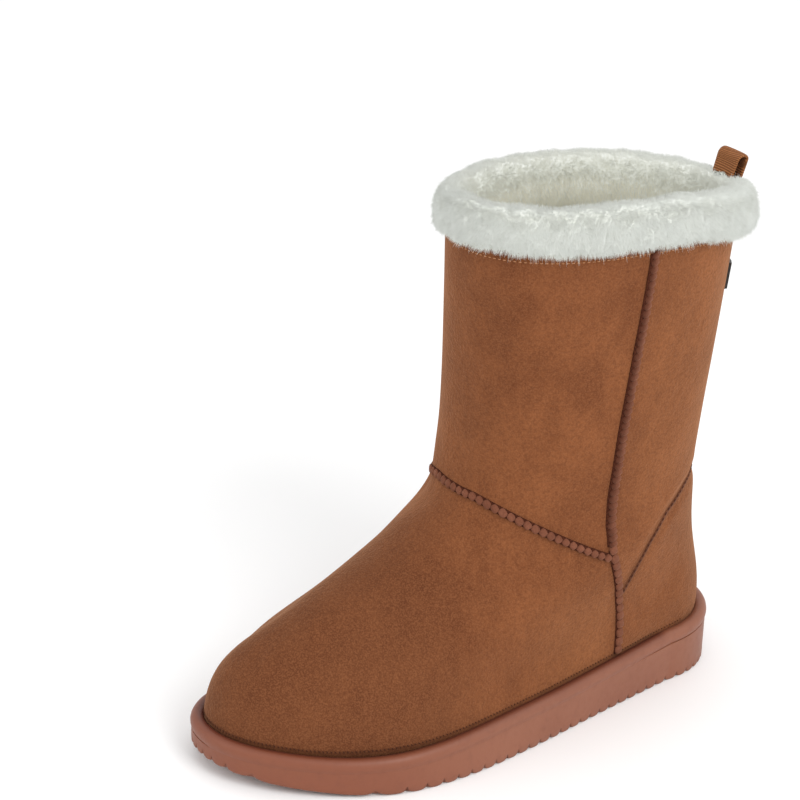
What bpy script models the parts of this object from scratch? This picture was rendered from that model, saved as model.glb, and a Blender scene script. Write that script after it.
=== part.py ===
"""Winter riding boot for the left foot, standing empty on its sole.

The frame is +X to the outer (lateral) side, -Y to the toe and +Z up, with the floor at
z = 0. Every table and size below is in millimetres, and a mesh is scaled to metres as it
is made.

The form is a stack of level sections, from the sole's outline to the collar. One section
is a closed curve that runs from its heel end to its toe end. Its half width and its
centre line are read at four stations along it, and both of its ends are rounded.
"""

import math
import random

import bpy
import bmesh
import numpy as np

MM = 0.001
GAP = 0.3  # clearance kept between two pieces that touch
FACET_SAG = 0.35  # how far a facet of the shaft's wall cuts inside its true curve


def table(columns, *rows):
    """A table's columns, as arrays by their names."""
    return dict(zip(columns, np.array(rows, float).T))


# ---- the sole ---------------------------------------------------------------
SOLE_LENGTH = 277.0
BALL_WIDTH = 106.0
HEEL_WIDTH = 79.0
TOE_WIDTH = 90.6  # where the toe's rounding starts
WAIST_WIDTH = 92.0
TOE_ROUND = 76.0  # length of the toe's rounded end
HEEL_ROUND = 39.0
SOLE_SIDE_Y = 62.5  # where the side seams meet the sole
SOLE_CENTRE_X = {"tip_x": -12.8, "ball_x": 2.5, "waist_x": 6.2, "heel_x": 0.0}
TOE_SPRING = 7.6  # how far the tip of the tread curls up
SPRING_START = -58.0  # y where the tread leaves the floor
WALL_INSET = 0.5  # the plain wall lies inside the rounded rim
TREAD_INSET_HEEL = 0.9
TREAD_INSET_TOE = 1.2
RIM_HEIGHT = 6.2  # from the groove to the seam line
RIM_VALLEY = 2.5  # drop from the upper's seam line to the seat
GROOVE_DEPTH = 0.8
GROOVE_HEIGHT = 0.9
GROOVE_MIDDLE_Y = 5.0  # about here, at the waist, the groove is faint
GROOVE_FADE_START = 45.0  # from the middle to where the groove starts to deepen
GROOVE_FADE_LENGTH = 60.0
GROOVE_WAIST_SHARE = 0.08  # of its full depth

# The rounded rim from its widest line over its top: "inset" is from the sole's outline
# and "rise" from the seam line.
RIM_PROFILE = table(
    ("inset", "rise"),
    (0.0, -4.2),
    (0.3, -2.0),
    (1.5, -0.3),
    (3.2, 0.2),
    (5.0, -0.4),
)
RIM_LIP_RISE = -1.2  # of the rim's inner edge, next to the upper

TREAD_PITCH = 4.9
TREAD_DEPTH = 2.0
TREAD_ANGLE = math.radians(52.0)  # of a rib, from +X towards +Y
TREAD_NOTCH_OPEN = 2.1
TREAD_NOTCH_FLOOR = 1.0
TREAD_TOE_STOPS = 9  # a notch's cross-sections from the ball to past the toe
TREAD_OVERRUN = (60.0, 30.0)  # how far a notch runs past the heel and the toe

# Height of the seam line where the upper leaves the sole, from toe to heel.
SEAM_LINE = table(
    ("y", "height"),
    (-138.0, 21.0),
    (-100.0, 18.8),
    (-55.0, 19.2),
    (14.0, 21.8),
    (70.0, 24.9),
    (138.0, 29.4),
)

# ---- the upper --------------------------------------------------------------
WALL = 2.5
UPPER_INSET = 6.0  # of the upper's foot, inside the sole's rim
FOOT_Z = 30.0  # below this the upper stands plumb inside the rim
COLLAR_Z = 250.5
COLLAR_DROP = 11.0  # how far the collar's edge sags at the back
COLLAR_DROP_Y = 36.0  # where it starts to sag
COLLAR_DROP_REACH = 86.0
COLLAR_DROP_CURVE = 1.6
ROUNDNESS = 2.2  # exponent of a section's rounded ends
SEAM_RISE = 1.2  # how far an overlocked seam stands out
SEAM_HALF_WIDTH = 2.2
COUNTER_STEP = 0.6  # how far the heel counter stands out

# A row for each level section. "round" is the length of a rounded end, "half" is half
# the width at a station, and the "_x" columns are the centre line, whose curve makes
# the left boot.
SECTIONS = table(
    (
        "z", "toe_y", "heel_y", "seam_y", "toe_round", "heel_round",
        "toe_half", "ball_half", "waist_half", "heel_half",
        "tip_x", "ball_x", "waist_x", "heel_x",
    ),
    (32, -131.5, 133.0, 61.4, 70, 35, 39.5, 46.5, 40.0, 35.5, -12.0, 2.5, 5.0, 0.0),
    (45, -126.5, 131.5, 60.3, 74, 38, 37.5, 45.0, 41.5, 36.5, -10.5, 2.0, 4.0, 0.0),
    (60, -111.0, 128.0, 56.2, 84, 44, 34.2, 42.0, 44.0, 38.5, -8.0, 1.5, 3.0, 0.0),
    (75, -79.0, 123.5, 50.6, 92, 51, 34.6, 40.5, 46.5, 42.0, -4.5, 0.5, 2.0, 0.0),
    (90, -45.0, 120.0, 44.6, 86, 56, 40.5, 44.0, 49.0, 47.0, -3.0, -1.0, 1.0, 0.0),
    (105, -22.5, 118.0, 42.6, 74, 61, 46.0, 48.0, 51.0, 50.5, -1.5, -0.5, 0.0, 0.0),
    (120, -11.0, 117.5, 41, 65, 64, 51.0, 51.5, 52.0, 52.0, 0.0, 0.0, 0.5, 0.5),
    (150, -10.5, 118.0, 41, 64, 64, 51.5, 51.5, 51.5, 51.5, 3.7, 3.7, 3.7, 3.7),
    (195, -16.5, 119.8, 42, 68, 68, 49.8, 49.8, 49.8, 49.8, 10.2, 10.2, 10.2, 10.2),
    (251, -25.5, 122.0, 44, 74, 74, 46.8, 46.8, 46.8, 46.8, 18.4, 18.4, 18.4, 18.4),
)
STATIONS = np.array((0.15, 0.5, 0.72, 1.0))  # heel, waist, ball, tip, along a section

VAMP_SEAM_SIDE_Z = 87.0  # where the vamp seam meets the side seam
VAMP_SEAM_SIDE_Y = 44.0
VAMP_SEAM_FRONT_Z = 118.0
VAMP_SEAM_REACH = 55.0  # along the boot, from the side seam to the front
VAMP_SEAM_CURVE = 1.1
COUNTER_SIDE_Z = 61.0  # where the counter's edge meets the side seam
COUNTER_SIDE_Y = 57.5
COUNTER_BACK_Z = 113.0
COUNTER_REACH = 60.5
COUNTER_CURVE = 3.05

# The upper's grid. Its rows follow the counter's edge and the vamp seam.
HEEL_COLUMNS = 9  # from the back to the side seam
FRONT_COLUMNS = 14  # and from the side seam to the toe
COUNTER_ROWS = 6  # from the sole's rim to the counter's edge
VAMP_ROWS = 4  # and from there to the vamp seam
SHAFT_ROWS = 7  # and from there to the collar
RIM_CLEARANCE = 1.2  # from the rim's top to the first raised row
COUNTER_LEDGE = 0.9  # width of the counter's step
BACK_ROW_RISE = 14.0  # the vamp seam's row runs on this far above the counter at the back
BACK_ROW_CURVE = 1.2
LEAST_ROW_RISE = 9.0  # and no nearer to it than this
FRONT_COUNTER_RISE = 0.08  # the counter's row rises to the toe by this share of the height
SEAM_FADE = 10.0  # height over which a seam fades out under the fur
SETTLE_STEPS = 12

# ---- the insole -------------------------------------------------------------
INSOLE_THICKNESS = 4.0
INSOLE_INSET = UPPER_INSET + WALL + 0.6
INSOLE_BEVEL = (1.2, 1.0)  # across and down, round its top edge

# ---- the fur cuff -----------------------------------------------------------
CUFF_COLUMNS = 50
TURN_STEP = 0.01  # half the turn over which the collar's direction is measured
CUFF_FRONT_THICKNESS = 4.5  # of the outer flap
CUFF_BACK_THICKNESS = 8.5
CUFF_INNER_THICKNESS = 13.0
CUFF_INNER_SIDE_DROP = 0.28  # share of the crest's height that the inner side lacks
CUFF_HEM_RISE = -9.0  # seams fade out here, under the fur
CUFF_LUMP = 0.6
CUFF_SLOT_OUTER_FOOT = -4.5  # foot of the slot that the collar goes into, as a rise
CUFF_SLOT_INNER_FOOT = -16.0
CUFF_SLOT_PLAY = 0.25  # more than GAP, because the cuff's columns aren't the upper's
LOCK_LENGTH = 1.6
LOCK_SPREAD = (0.6, 1.2)  # shortest and longest lock, as shares of that
LOCK_TIP = 0.4  # a lock's tip, as a share of its root
LOCK_DROOP = 0.8
LOCK_PLACES = range(1, 9)  # faces of the cuff's cross-section that grow locks
LOCKS_CLEAR_COLUMNS = 4  # on each side of the loop
LOCKS_CLEAR_PLACE = 6  # from here up

# The cuff's cross-section, from the slot's outer lip round the crest to its inner lip.
# "out" is a share of the outer flap's thickness, or of the inner flap's where negative,
# and "rise" is the height above the collar's edge.
CUFF_PROFILE = table(
    ("out", "rise"),
    (0.30, -7.6),
    (0.75, -6.9),
    (0.97, -3.0),
    (1.00, 3.0),
    (0.86, 9.0),
    (0.45, 13.4),
    (-0.10, 15.0),
    (-0.55, 13.0),
    (-0.88, 8.0),
    (-1.00, 0.5),
    (-0.98, -8.0),
    (-0.85, -15.5),
    (-0.50, -20.0),
)

# ---- the pull loop and the badge ---------------------------------------------
LOOP_WIDTH = 15.0
LOOP_THICKNESS = 1.4
LOOP_OFFSET = 4.5  # from the middle of the back, towards the outer side
LOOP_TOP_RISE = 23.5  # above the collar's edge, as the next three are
LOOP_FOOT_RISE = -7.0
SLOT_FOOT_RISE = -24.0  # of the block cut from the fur for the loop
SLOT_TOP_RISE = 30.0
LOOP_LEAN = 0.3  # how far the loop leans back for each unit that it stands up
LOOP_ARC_STEPS = 8
BADGE_WIDTH = 22.0
BADGE_HEIGHT = 13.5
BADGE_THICKNESS = 1.2
BADGE_BEVEL = 0.3
BADGE_OFFSET = 17.0  # from the middle of the back, towards the outer side
BADGE_TOP_RISE = -24.0
ACROSS_STEPS = 6  # grid columns across a strap or a badge

MATERIALS = {
    "outsole": ((0.352, 0.140, 0.090, 1.0), 0.55),
    "upper": ((0.287, 0.109, 0.041, 1.0), 0.95),
    "insole": ((0.72, 0.70, 0.60, 1.0), 1.0),
    "fur_cuff": ((0.76, 0.77, 0.72, 1.0), 1.0),
    "pull_loop": ((0.305, 0.115, 0.035, 1.0), 0.85),
    "back_badge": ((0.02, 0.018, 0.016, 1.0), 0.5),
}


# ---- curves and sections ------------------------------------------------------
def smooth_curve(knots, values, at):
    """Value at `at` of a smooth curve through the knots. A value may be an array."""
    steps = np.diff(knots)
    slopes = [(values[i + 1] - values[i]) / steps[i] for i in range(len(steps))]
    tangents = [slopes[0]]
    for i in range(1, len(steps)):
        blend = slopes[i - 1] * steps[i] + slopes[i] * steps[i - 1]
        tangents.append(blend / (steps[i - 1] + steps[i]))
    tangents.append(slopes[-1])
    at = np.clip(at, knots[0], knots[-1])
    span = np.clip(np.searchsorted(knots, at, side="right") - 1, 0, len(steps) - 1)
    result = 0.0
    for i, step in enumerate(steps):
        t = (at - knots[i]) / step
        start = values[i] * (1 + 2 * t) * (1 - t) ** 2 + step * tangents[i] * t * (1 - t) ** 2
        end = values[i + 1] * t * t * (3 - 2 * t) + step * tangents[i + 1] * t * t * (t - 1)
        result = result + np.where(span == i, start + end, 0.0)
    return result


def seam_line_z(y):
    """Height of the line where the upper leaves the sole."""
    return smooth_curve(SEAM_LINE["y"], SEAM_LINE["height"], y)


def tread_z(y):
    """Height of the tread's ribs: flat on the floor, then curling up to the toe."""
    past_ball = np.clip((SPRING_START - y) / (SPRING_START + SOLE_LENGTH / 2), 0, 1.2)
    return TOE_SPRING * past_ball**2


def collar_z(y):
    """Height of the collar's edge: level at the front and sagging to the back."""
    backward = np.clip((y - COLLAR_DROP_Y) / COLLAR_DROP_REACH, 0, 1)
    return COLLAR_Z - COLLAR_DROP * backward**COLLAR_DROP_CURVE


def sole_section(inset):
    """The sole's outline, drawn in by `inset` all round."""
    return {
        "toe_y": -SOLE_LENGTH / 2 + inset,
        "heel_y": SOLE_LENGTH / 2 - inset,
        "seam_y": SOLE_SIDE_Y,
        "toe_round": TOE_ROUND - inset,
        "heel_round": HEEL_ROUND - inset,
        "toe_half": TOE_WIDTH / 2 - inset,
        "ball_half": BALL_WIDTH / 2 - inset,
        "waist_half": WAIST_WIDTH / 2 - inset,
        "heel_half": HEEL_WIDTH / 2 - inset,
        **SOLE_CENTRE_X,
    }


def last_section(z):
    """The upper's section at the height or heights z."""
    knots = np.concatenate([[FOOT_Z], SECTIONS["z"]])
    return {
        name: smooth_curve(knots, np.concatenate([[value], SECTIONS[name]]), z)
        for name, value in sole_section(UPPER_INSET).items()
    }


def section_x(section, y, side):
    """X of the section's outer (side +1) or inner (side -1) edge at y."""
    length = section["heel_y"] - section["toe_y"]
    y = np.clip(y, section["toe_y"], section["heel_y"])
    along = (section["heel_y"] - y) / length

    def at_stations(kind):
        names = [f"{place}_{kind}" for place in ("heel", "waist", "ball")]
        names.append("toe_half" if kind == "half" else "tip_x")
        values = [section[name] + 0.0 * along for name in names]
        return smooth_curve(STATIONS, values, along)

    to_toe = np.clip(1 - (y - section["toe_y"]) / section["toe_round"], 0, 1)
    to_heel = np.clip(1 - (section["heel_y"] - y) / section["heel_round"], 0, 1)
    rounding = ((1 - to_toe**ROUNDNESS) * (1 - to_heel**ROUNDNESS)) ** (1 / ROUNDNESS)
    return at_stations("x") + side * at_stations("half") * rounding


def boot_columns():
    """The columns that every section has: a side, the stretch it is in and its share of it.

    They run from the back, by the outer side, to the toe and home. Those of a stretch
    are closer together at the boot's ends, and the side seam has a column of its own.
    """
    outer = [("heel", k / HEEL_COLUMNS) for k in range(HEEL_COLUMNS + 1)]
    outer.append(("seam", 0.0))
    outer += [("front", k / FRONT_COLUMNS) for k in range(FRONT_COLUMNS + 1)]
    return [(1, *column) for column in outer] + [(-1, *column) for column in outer[-2:0:-1]]


def column_y(section, stretch, share):
    seam = section["seam_y"]
    if stretch == "heel":
        reach = section["heel_y"] - seam - SEAM_HALF_WIDTH
        return section["heel_y"] - reach * (1 - math.cos(math.pi / 2 * share))
    if stretch == "seam":
        return seam
    start = seam - SEAM_HALF_WIDTH
    return start - (start - section["toe_y"]) * math.sin(math.pi / 2 * share)


def ring_of(section, height_of):
    """The section's points on the boot's columns, at heights given as a function of y."""
    points = []
    for side, stretch, share in boot_columns():
        y = column_y(section, stretch, share)
        points.append((float(section_x(section, y, side)), float(y), float(height_of(y))))
    return np.array(points)


# ---- meshes -------------------------------------------------------------------
def material_for(name):
    color, roughness = MATERIALS[name]
    material = bpy.data.materials.new(name)
    material.use_nodes = True
    material.diffuse_color = color
    shader = material.node_tree.nodes["Principled BSDF"]
    shader.inputs["Base Color"].default_value = color
    shader.inputs["Roughness"].default_value = roughness
    shader.inputs["Metallic"].default_value = 0.0
    return material


def new_object(name, points, faces, collection):
    """A mesh object from points in millimetres, with its faces turned outwards."""
    mesh = bpy.data.meshes.new(name)
    mesh.from_pydata([tuple(point) for point in np.asarray(points) * MM], [], faces)
    edit = bmesh.new()
    edit.from_mesh(mesh)
    bmesh.ops.recalc_face_normals(edit, faces=edit.faces)
    edit.to_mesh(mesh)
    edit.free()
    obj = bpy.data.objects.new(name, mesh)
    collection.objects.link(obj)
    return obj


def finish(obj, sharp=35.0):
    obj.data.materials.append(material_for(obj.name))
    obj.data.shade_smooth()
    obj.data.set_sharp_from_angle(angle=math.radians(sharp))


def loft_faces(ring_count, ring_size, closed_rings):
    """Quads between successive rings, and from the last ring to the first if closed."""
    faces = []
    for row in range(ring_count if closed_rings else ring_count - 1):
        below = row * ring_size
        above = (row + 1) % ring_count * ring_size
        for i in range(ring_size):
            j = (i + 1) % ring_size
            faces.append((below + i, below + j, above + j, above + i))
    return faces


def ladder_faces(first, ring_size):
    """Rungs across a ring whose points are mirrored about its two ends."""
    half = ring_size // 2
    faces = [(first, first + 1, first + ring_size - 1)]
    for i in range(1, half - 1):
        faces.append((first + i, first + i + 1, first + ring_size - i - 1, first + ring_size - i))
    faces.append((first + half - 1, first + half, first + half + 1))
    return faces


def cut(obj, cutter, name):
    modifier = obj.modifiers.new(name, "BOOLEAN")
    modifier.operation = "DIFFERENCE"
    modifier.object = cutter
    modifier.solver = "EXACT"


def hide_cutter(obj):
    obj.hide_render = True
    obj.display_type = "WIRE"


# ---- the outsole --------------------------------------------------------------
def make_outsole(parts, cutters):
    """A cup sole: ribbed tread, plain wall, a groove, and a rim round the upper's foot."""

    def ring(inset, height_of):
        return ring_of(sole_section(inset), height_of)

    def end_share(y):
        """1 at the heel and the toe, where the groove is deep, and little at the waist."""
        beyond = np.abs(y - GROOVE_MIDDLE_Y) - GROOVE_FADE_START
        return np.clip(beyond / GROOVE_FADE_LENGTH, GROOVE_WAIST_SHARE, 1)

    tread = ring(TREAD_INSET_HEEL, tread_z)
    toe_share = np.clip(-tread[:, 1] / (SOLE_LENGTH / 2), 0, 1) ** 2
    toe_tread = ring(TREAD_INSET_TOE, tread_z)
    tread = tread * (1 - toe_share)[:, None] + toe_tread * toe_share[:, None]

    def groove_z(y):
        return seam_line_z(y) - RIM_HEIGHT

    wall_top = ring(WALL_INSET, lambda y: groove_z(y) - GROOVE_HEIGHT / 2)
    groove = ring(WALL_INSET, groove_z)
    deep = ring(WALL_INSET + GROOVE_DEPTH, groove_z)
    share = end_share(groove[:, 1])[:, None]
    groove = groove * (1 - share) + deep * share
    rim_foot = ring(WALL_INSET, lambda y: groove_z(y) + GROOVE_HEIGHT / 2)
    rings = [tread, wall_top, groove, rim_foot]
    for inset, rise in zip(RIM_PROFILE["inset"], RIM_PROFILE["rise"]):
        rings.append(ring(inset, lambda y: seam_line_z(y) + rise))
    rings.append(ring(UPPER_INSET - GAP, lambda y: seam_line_z(y) + RIM_LIP_RISE))
    rings.append(ring(UPPER_INSET - GAP, lambda y: seam_line_z(y) - RIM_VALLEY))
    size = len(tread)
    faces = loft_faces(len(rings), size, False)
    faces += ladder_faces(0, size)
    faces += ladder_faces((len(rings) - 1) * size, size)
    outsole = new_object("outsole", np.concatenate(rings), faces, parts)
    cut(outsole, make_tread_notches(cutters), "tread notches")
    finish(outsole, 30.0)
    return outsole


def make_tread_notches(cutters):
    """Parallel notches slanted across the tread, which leave flat-topped ribs.

    The frame's origin is in the middle of a rib's flat face.
    """
    reach = SOLE_LENGTH / 2
    along = np.array((math.cos(TREAD_ANGLE), math.sin(TREAD_ANGLE)))
    across = np.array((-math.sin(TREAD_ANGLE), math.cos(TREAD_ANGLE)))
    profile = (
        (-TREAD_NOTCH_OPEN, -TREAD_DEPTH),
        (-TREAD_NOTCH_FLOOR / 2, TREAD_DEPTH),
        (TREAD_NOTCH_FLOOR / 2, TREAD_DEPTH),
        (TREAD_NOTCH_OPEN, -TREAD_DEPTH),
    )
    points = []
    faces = []
    past_heel, past_toe = TREAD_OVERRUN
    toe_stops = np.linspace(SPRING_START, -reach - past_toe, TREAD_TOE_STOPS)
    stops = np.concatenate([[reach + past_heel], toe_stops])
    rows = len(stops)
    size = len(profile)
    count = int(reach / TREAD_PITCH)
    for number in range(-count - 1, count + 1):
        first = len(points)
        middle = (number + 0.5) * TREAD_PITCH
        for y in stops:
            step = (y - across[1] * middle) / along[1]
            for offset, depth in profile:
                place = along * step + across * (middle + offset)
                points.append((place[0], place[1], float(tread_z(y)) + depth))
        bar = loft_faces(rows, size, False)
        bar.append(tuple(range(size)))
        bar.append(tuple(range((rows - 1) * size, rows * size)))
        faces += [tuple(first + index for index in face) for face in bar]
    notches = new_object("tread_notches", points, faces, cutters)
    hide_cutter(notches)
    return notches


# ---- the upper ----------------------------------------------------------------
def vamp_seam_z(y):
    """Height of the seam that joins the vamp to the shaft, over the front half."""
    forward = np.clip((VAMP_SEAM_SIDE_Y - y) / VAMP_SEAM_REACH, 0, 1)
    rise = VAMP_SEAM_FRONT_Z - VAMP_SEAM_SIDE_Z
    return VAMP_SEAM_SIDE_Z + rise * forward**VAMP_SEAM_CURVE


def counter_edge_z(y):
    """Height of the heel counter's upper edge, over the back half."""
    backward = np.clip((y - COUNTER_SIDE_Y) / COUNTER_REACH, 0, 1)
    return COUNTER_SIDE_Z + (COUNTER_BACK_Z - COUNTER_SIDE_Z) * (1 - (1 - backward) ** COUNTER_CURVE)


def wall_point(column, z):
    side, stretch, share = column
    section = last_section(z)
    y = column_y(section, stretch, share)
    return np.array((float(section_x(section, y, side)), float(y), z))


def settle(column, height_of, start):
    """The height on a column at which it crosses a seam given as a height over y."""
    z = start
    for _ in range(SETTLE_STEPS):
        z = (z + float(height_of(wall_point(column, z)[1]))) / 2
    return z


def upper_levels(column):
    """Heights of the grid's rows on a column, from the foot to the collar, and their names.

    Two rows follow the counter's edge and three follow the vamp seam.
    """
    _, stretch, share = column
    foot = settle(column, lambda y: seam_line_z(y) - RIM_VALLEY + GAP, FOOT_Z)
    if stretch == "heel":
        to_back = math.sin(math.pi / 2 * (1 - share))
        counter = settle(column, counter_edge_z, COUNTER_BACK_Z)
        rise = COUNTER_BACK_Z + BACK_ROW_RISE - VAMP_SEAM_SIDE_Z
        vamp = VAMP_SEAM_SIDE_Z + rise * to_back**BACK_ROW_CURVE
        vamp = max(vamp, counter + LEAST_ROW_RISE)
    else:
        vamp = settle(column, vamp_seam_z, VAMP_SEAM_FRONT_Z)
        low = (COUNTER_SIDE_Z - foot) / (VAMP_SEAM_SIDE_Z - foot)
        counter = foot + (vamp - foot) * (low + FRONT_COUNTER_RISE * share)
    collar = settle(column, collar_z, COLLAR_Z)
    rim_top = foot + RIM_VALLEY
    levels = [foot, rim_top]
    levels += rows_between(rim_top + RIM_CLEARANCE, counter, COUNTER_ROWS)
    levels.append(counter)
    levels += rows_between(counter + COUNTER_LEDGE, vamp - SEAM_HALF_WIDTH, VAMP_ROWS)
    levels += [vamp - SEAM_HALF_WIDTH, vamp]
    levels += rows_between(vamp + SEAM_HALF_WIDTH, collar, SHAFT_ROWS)
    levels.append(collar)
    return levels, {"rim": 1, "counter": 2 + COUNTER_ROWS, "vamp": 4 + COUNTER_ROWS + VAMP_ROWS}


def rows_between(low, high, count):
    """Heights of `count` evenly spaced rows from low, without high."""
    return [low + (high - low) * k / count for k in range(count)]


def make_upper(parts):
    """One hollow shell: outer face with its seams standing out, and a plain inner face."""
    columns = boot_columns()
    ladders = [upper_levels(column) for column in columns]
    row_of = ladders[0][1]
    levels = np.array([heights for heights, _ in ladders]).T
    base = np.array([[wall_point(c, z) for c, z in zip(columns, row)] for row in levels])
    outward = surface_normals(base)
    rise = np.zeros(levels.shape)
    under_fur = levels[-1] + CUFF_HEM_RISE - levels
    for i, (_, stretch, _) in enumerate(columns):
        if stretch == "seam":
            fade = np.clip(under_fur[:, i] / SEAM_FADE, 0, 1)
            fade[: row_of["rim"] + 1] = 0
            rise[:, i] = SEAM_RISE * fade
        elif stretch == "front":
            rise[row_of["vamp"], i] = SEAM_RISE
        else:
            rise[row_of["rim"] + 1 : row_of["counter"] + 1, i] = COUNTER_STEP
    outer = base + outward * rise[..., None]
    inner = base - outward * WALL
    inner[0, :, 2] = base[0, :, 2]
    inner[-1, :, 2] = base[-1, :, 2]
    rings = list(outer) + list(inner[::-1])
    faces = loft_faces(len(rings), len(columns), True)
    upper = new_object("upper", np.concatenate(rings), faces, parts)
    finish(upper, 50.0)
    return upper


def surface_normals(grid):
    """Unit normals of a grid of rows and closed columns, pointing out of the boot."""
    round_it = np.roll(grid, -1, axis=1) - np.roll(grid, 1, axis=1)
    up_it = np.gradient(grid, axis=0)
    normals = np.cross(round_it, up_it)
    normals /= np.linalg.norm(normals, axis=2, keepdims=True)
    middle = grid.mean(axis=1, keepdims=True)
    if np.sum(normals * (grid - middle)) < 0:
        normals = -normals
    return normals


# ---- the insole ---------------------------------------------------------------
def make_insole(parts):
    def seat(y):
        return seam_line_z(y) - RIM_VALLEY + GAP

    def ring(inset, lift):
        return ring_of(sole_section(inset), lambda y: seat(y) + lift)

    rings = [
        ring(INSOLE_INSET, 0.0),
        ring(INSOLE_INSET, INSOLE_THICKNESS - INSOLE_BEVEL[1]),
        ring(INSOLE_INSET + INSOLE_BEVEL[0], INSOLE_THICKNESS),
    ]
    size = len(rings[0])
    faces = loft_faces(len(rings), size, False)
    faces += ladder_faces(0, size)
    faces += ladder_faces((len(rings) - 1) * size, size)
    insole = new_object("insole", np.concatenate(rings), faces, parts)
    finish(insole)
    return insole


# ---- what sits on the collar ----------------------------------------------------
def collar_frame(z, turn):
    """Point on the shaft's outer face at a turn from the back, and its level normal."""
    section = last_section(z)
    middle_y = (section["heel_y"] + section["toe_y"]) / 2

    def point(at):
        share = math.copysign(abs(math.cos(at)) ** (2 / ROUNDNESS), math.cos(at))
        y = middle_y + (section["heel_y"] - middle_y) * share
        side = 1 if math.sin(at) >= 0 else -1
        return np.array((float(section_x(section, y, side)), float(y)))

    here = point(turn)
    tangent = point(turn + TURN_STEP) - point(turn - TURN_STEP)
    normal = np.array((tangent[1], -tangent[0])) / np.linalg.norm(tangent)
    middle = np.array((float(section["waist_x"]), float(middle_y)))
    return here, normal * np.sign(normal @ (here - middle))


def on_collar(turn, out, rise):
    """Point `out` beyond the shaft's outer face and `rise` above the collar's edge."""
    edge_z = float(collar_z(collar_frame(COLLAR_Z, turn)[0][1]))
    here, normal = collar_frame(min(edge_z + rise, edge_z), turn)
    return np.array((*(here + normal * out), edge_z + rise))


def make_fur_cuff(parts, cutters):
    """A thick roll of fur hooked over the collar, with its locks grown from its face."""
    noise = random.Random(5)
    slot_out = GAP + CUFF_SLOT_PLAY
    slot_in = -(WALL + GAP + FACET_SAG)
    slot_top = GAP + CUFF_SLOT_PLAY
    rings = []
    for column in range(CUFF_COLUMNS):
        turn = 2 * math.pi * column / CUFF_COLUMNS
        back_share = 0.5 + 0.5 * math.cos(turn)
        outer = CUFF_FRONT_THICKNESS + (CUFF_BACK_THICKNESS - CUFF_FRONT_THICKNESS) * back_share
        crest = 1 - CUFF_INNER_SIDE_DROP * max(0.0, -math.sin(turn))
        ring = [on_collar(turn, slot_out, CUFF_SLOT_OUTER_FOOT)]
        for share, rise in zip(CUFF_PROFILE["out"], CUFF_PROFILE["rise"]):
            rise *= crest if rise > 0 else 1.0
            thick = outer if share > 0 else CUFF_INNER_THICKNESS
            lump = noise.uniform(-CUFF_LUMP, CUFF_LUMP)
            out = share * thick + math.copysign(lump, share)
            ring.append(on_collar(turn, out, rise + noise.uniform(-CUFF_LUMP, CUFF_LUMP)))
        ring.append(on_collar(turn, slot_in, CUFF_SLOT_INNER_FOOT))
        ring.append(on_collar(turn, slot_in, slot_top))
        ring.append(on_collar(turn, slot_out, slot_top))
        rings.append(ring)
    size = len(rings[0])
    faces = loft_faces(len(rings), size, True)
    cuff = new_object("fur_cuff", np.concatenate(rings), faces, parts)
    grow_locks(cuff, noise)
    cut(cuff, make_loop_slot(cutters), "loop slot")
    finish(cuff, 60.0)
    return cuff


def grow_locks(cuff, noise):
    """Draw every other face of the outer flap out into a lock that hangs down."""
    edit = bmesh.new()
    edit.from_mesh(cuff.data)
    edit.faces.ensure_lookup_table()
    size = len(edit.verts) // CUFF_COLUMNS
    chosen = []
    for face in edit.faces:
        ring, place = divmod(face.index, size)
        near_loop = min(ring, CUFF_COLUMNS - ring) < LOCKS_CLEAR_COLUMNS
        at_loop = near_loop and place >= LOCKS_CLEAR_PLACE
        if place in LOCK_PLACES and (ring + place) % 2 == 0 and not at_loop:
            chosen.append(face)
    made = bmesh.ops.extrude_discrete_faces(edit, faces=chosen)["faces"]
    for face in made:
        middle = face.calc_center_median()
        reach = LOCK_LENGTH * noise.uniform(*LOCK_SPREAD) * MM
        direction = face.normal.copy()
        direction.z -= LOCK_DROOP
        direction.normalize()
        for vert in face.verts:
            vert.co = middle + (vert.co - middle) * LOCK_TIP + direction * reach
    bmesh.ops.recalc_face_normals(edit, faces=edit.faces)
    edit.to_mesh(cuff.data)
    edit.free()


def make_strap_solid(name, width, offset, outer_path, inner_path, collection):
    """The band between two paths in the (out, rise) plane, run across the shaft's back.

    The paths have as many points as each other, so that the band's two ends are quads.
    """
    profile = outer_path + inner_path[::-1]
    rings = []
    for step in range(ACROSS_STEPS + 1):
        turn = turn_at(offset + (step / ACROSS_STEPS - 0.5) * width)
        rings.append([on_collar(turn, out, rise) for out, rise in profile])
    size = len(profile)
    faces = loft_faces(len(rings), size, False)
    for first in (0, ACROSS_STEPS * size):
        for i in range(len(outer_path) - 1):
            j = size - 1 - i
            faces.append((first + i, first + i + 1, first + j - 1, first + j))
    return new_object(name, np.concatenate(rings), faces, collection)


def turn_at(distance):
    """The turn round the collar, from the back, at which it lies `distance` to the side."""
    half = float(last_section(COLLAR_Z)["heel_half"])
    return math.copysign(math.asin((abs(distance) / half) ** (ROUNDNESS / 2)), distance)


def loop_lean(rise):
    return LOOP_LEAN * max(0.0, rise)


def make_loop_slot(cutters):
    """The block of fur that the loop's webbing takes away."""
    inner = -(WALL + FACET_SAG + 2 * GAP + LOOP_THICKNESS)
    outer = 2 * GAP + LOOP_THICKNESS
    rises = (SLOT_FOOT_RISE, 0.0, SLOT_TOP_RISE)
    slot = make_strap_solid(
        "loop_slot",
        LOOP_WIDTH + 4 * GAP,
        LOOP_OFFSET,
        [(outer + loop_lean(rise), rise) for rise in rises],
        [(inner + loop_lean(rise), rise) for rise in rises],
        cutters,
    )
    hide_cutter(slot)
    return slot


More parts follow.
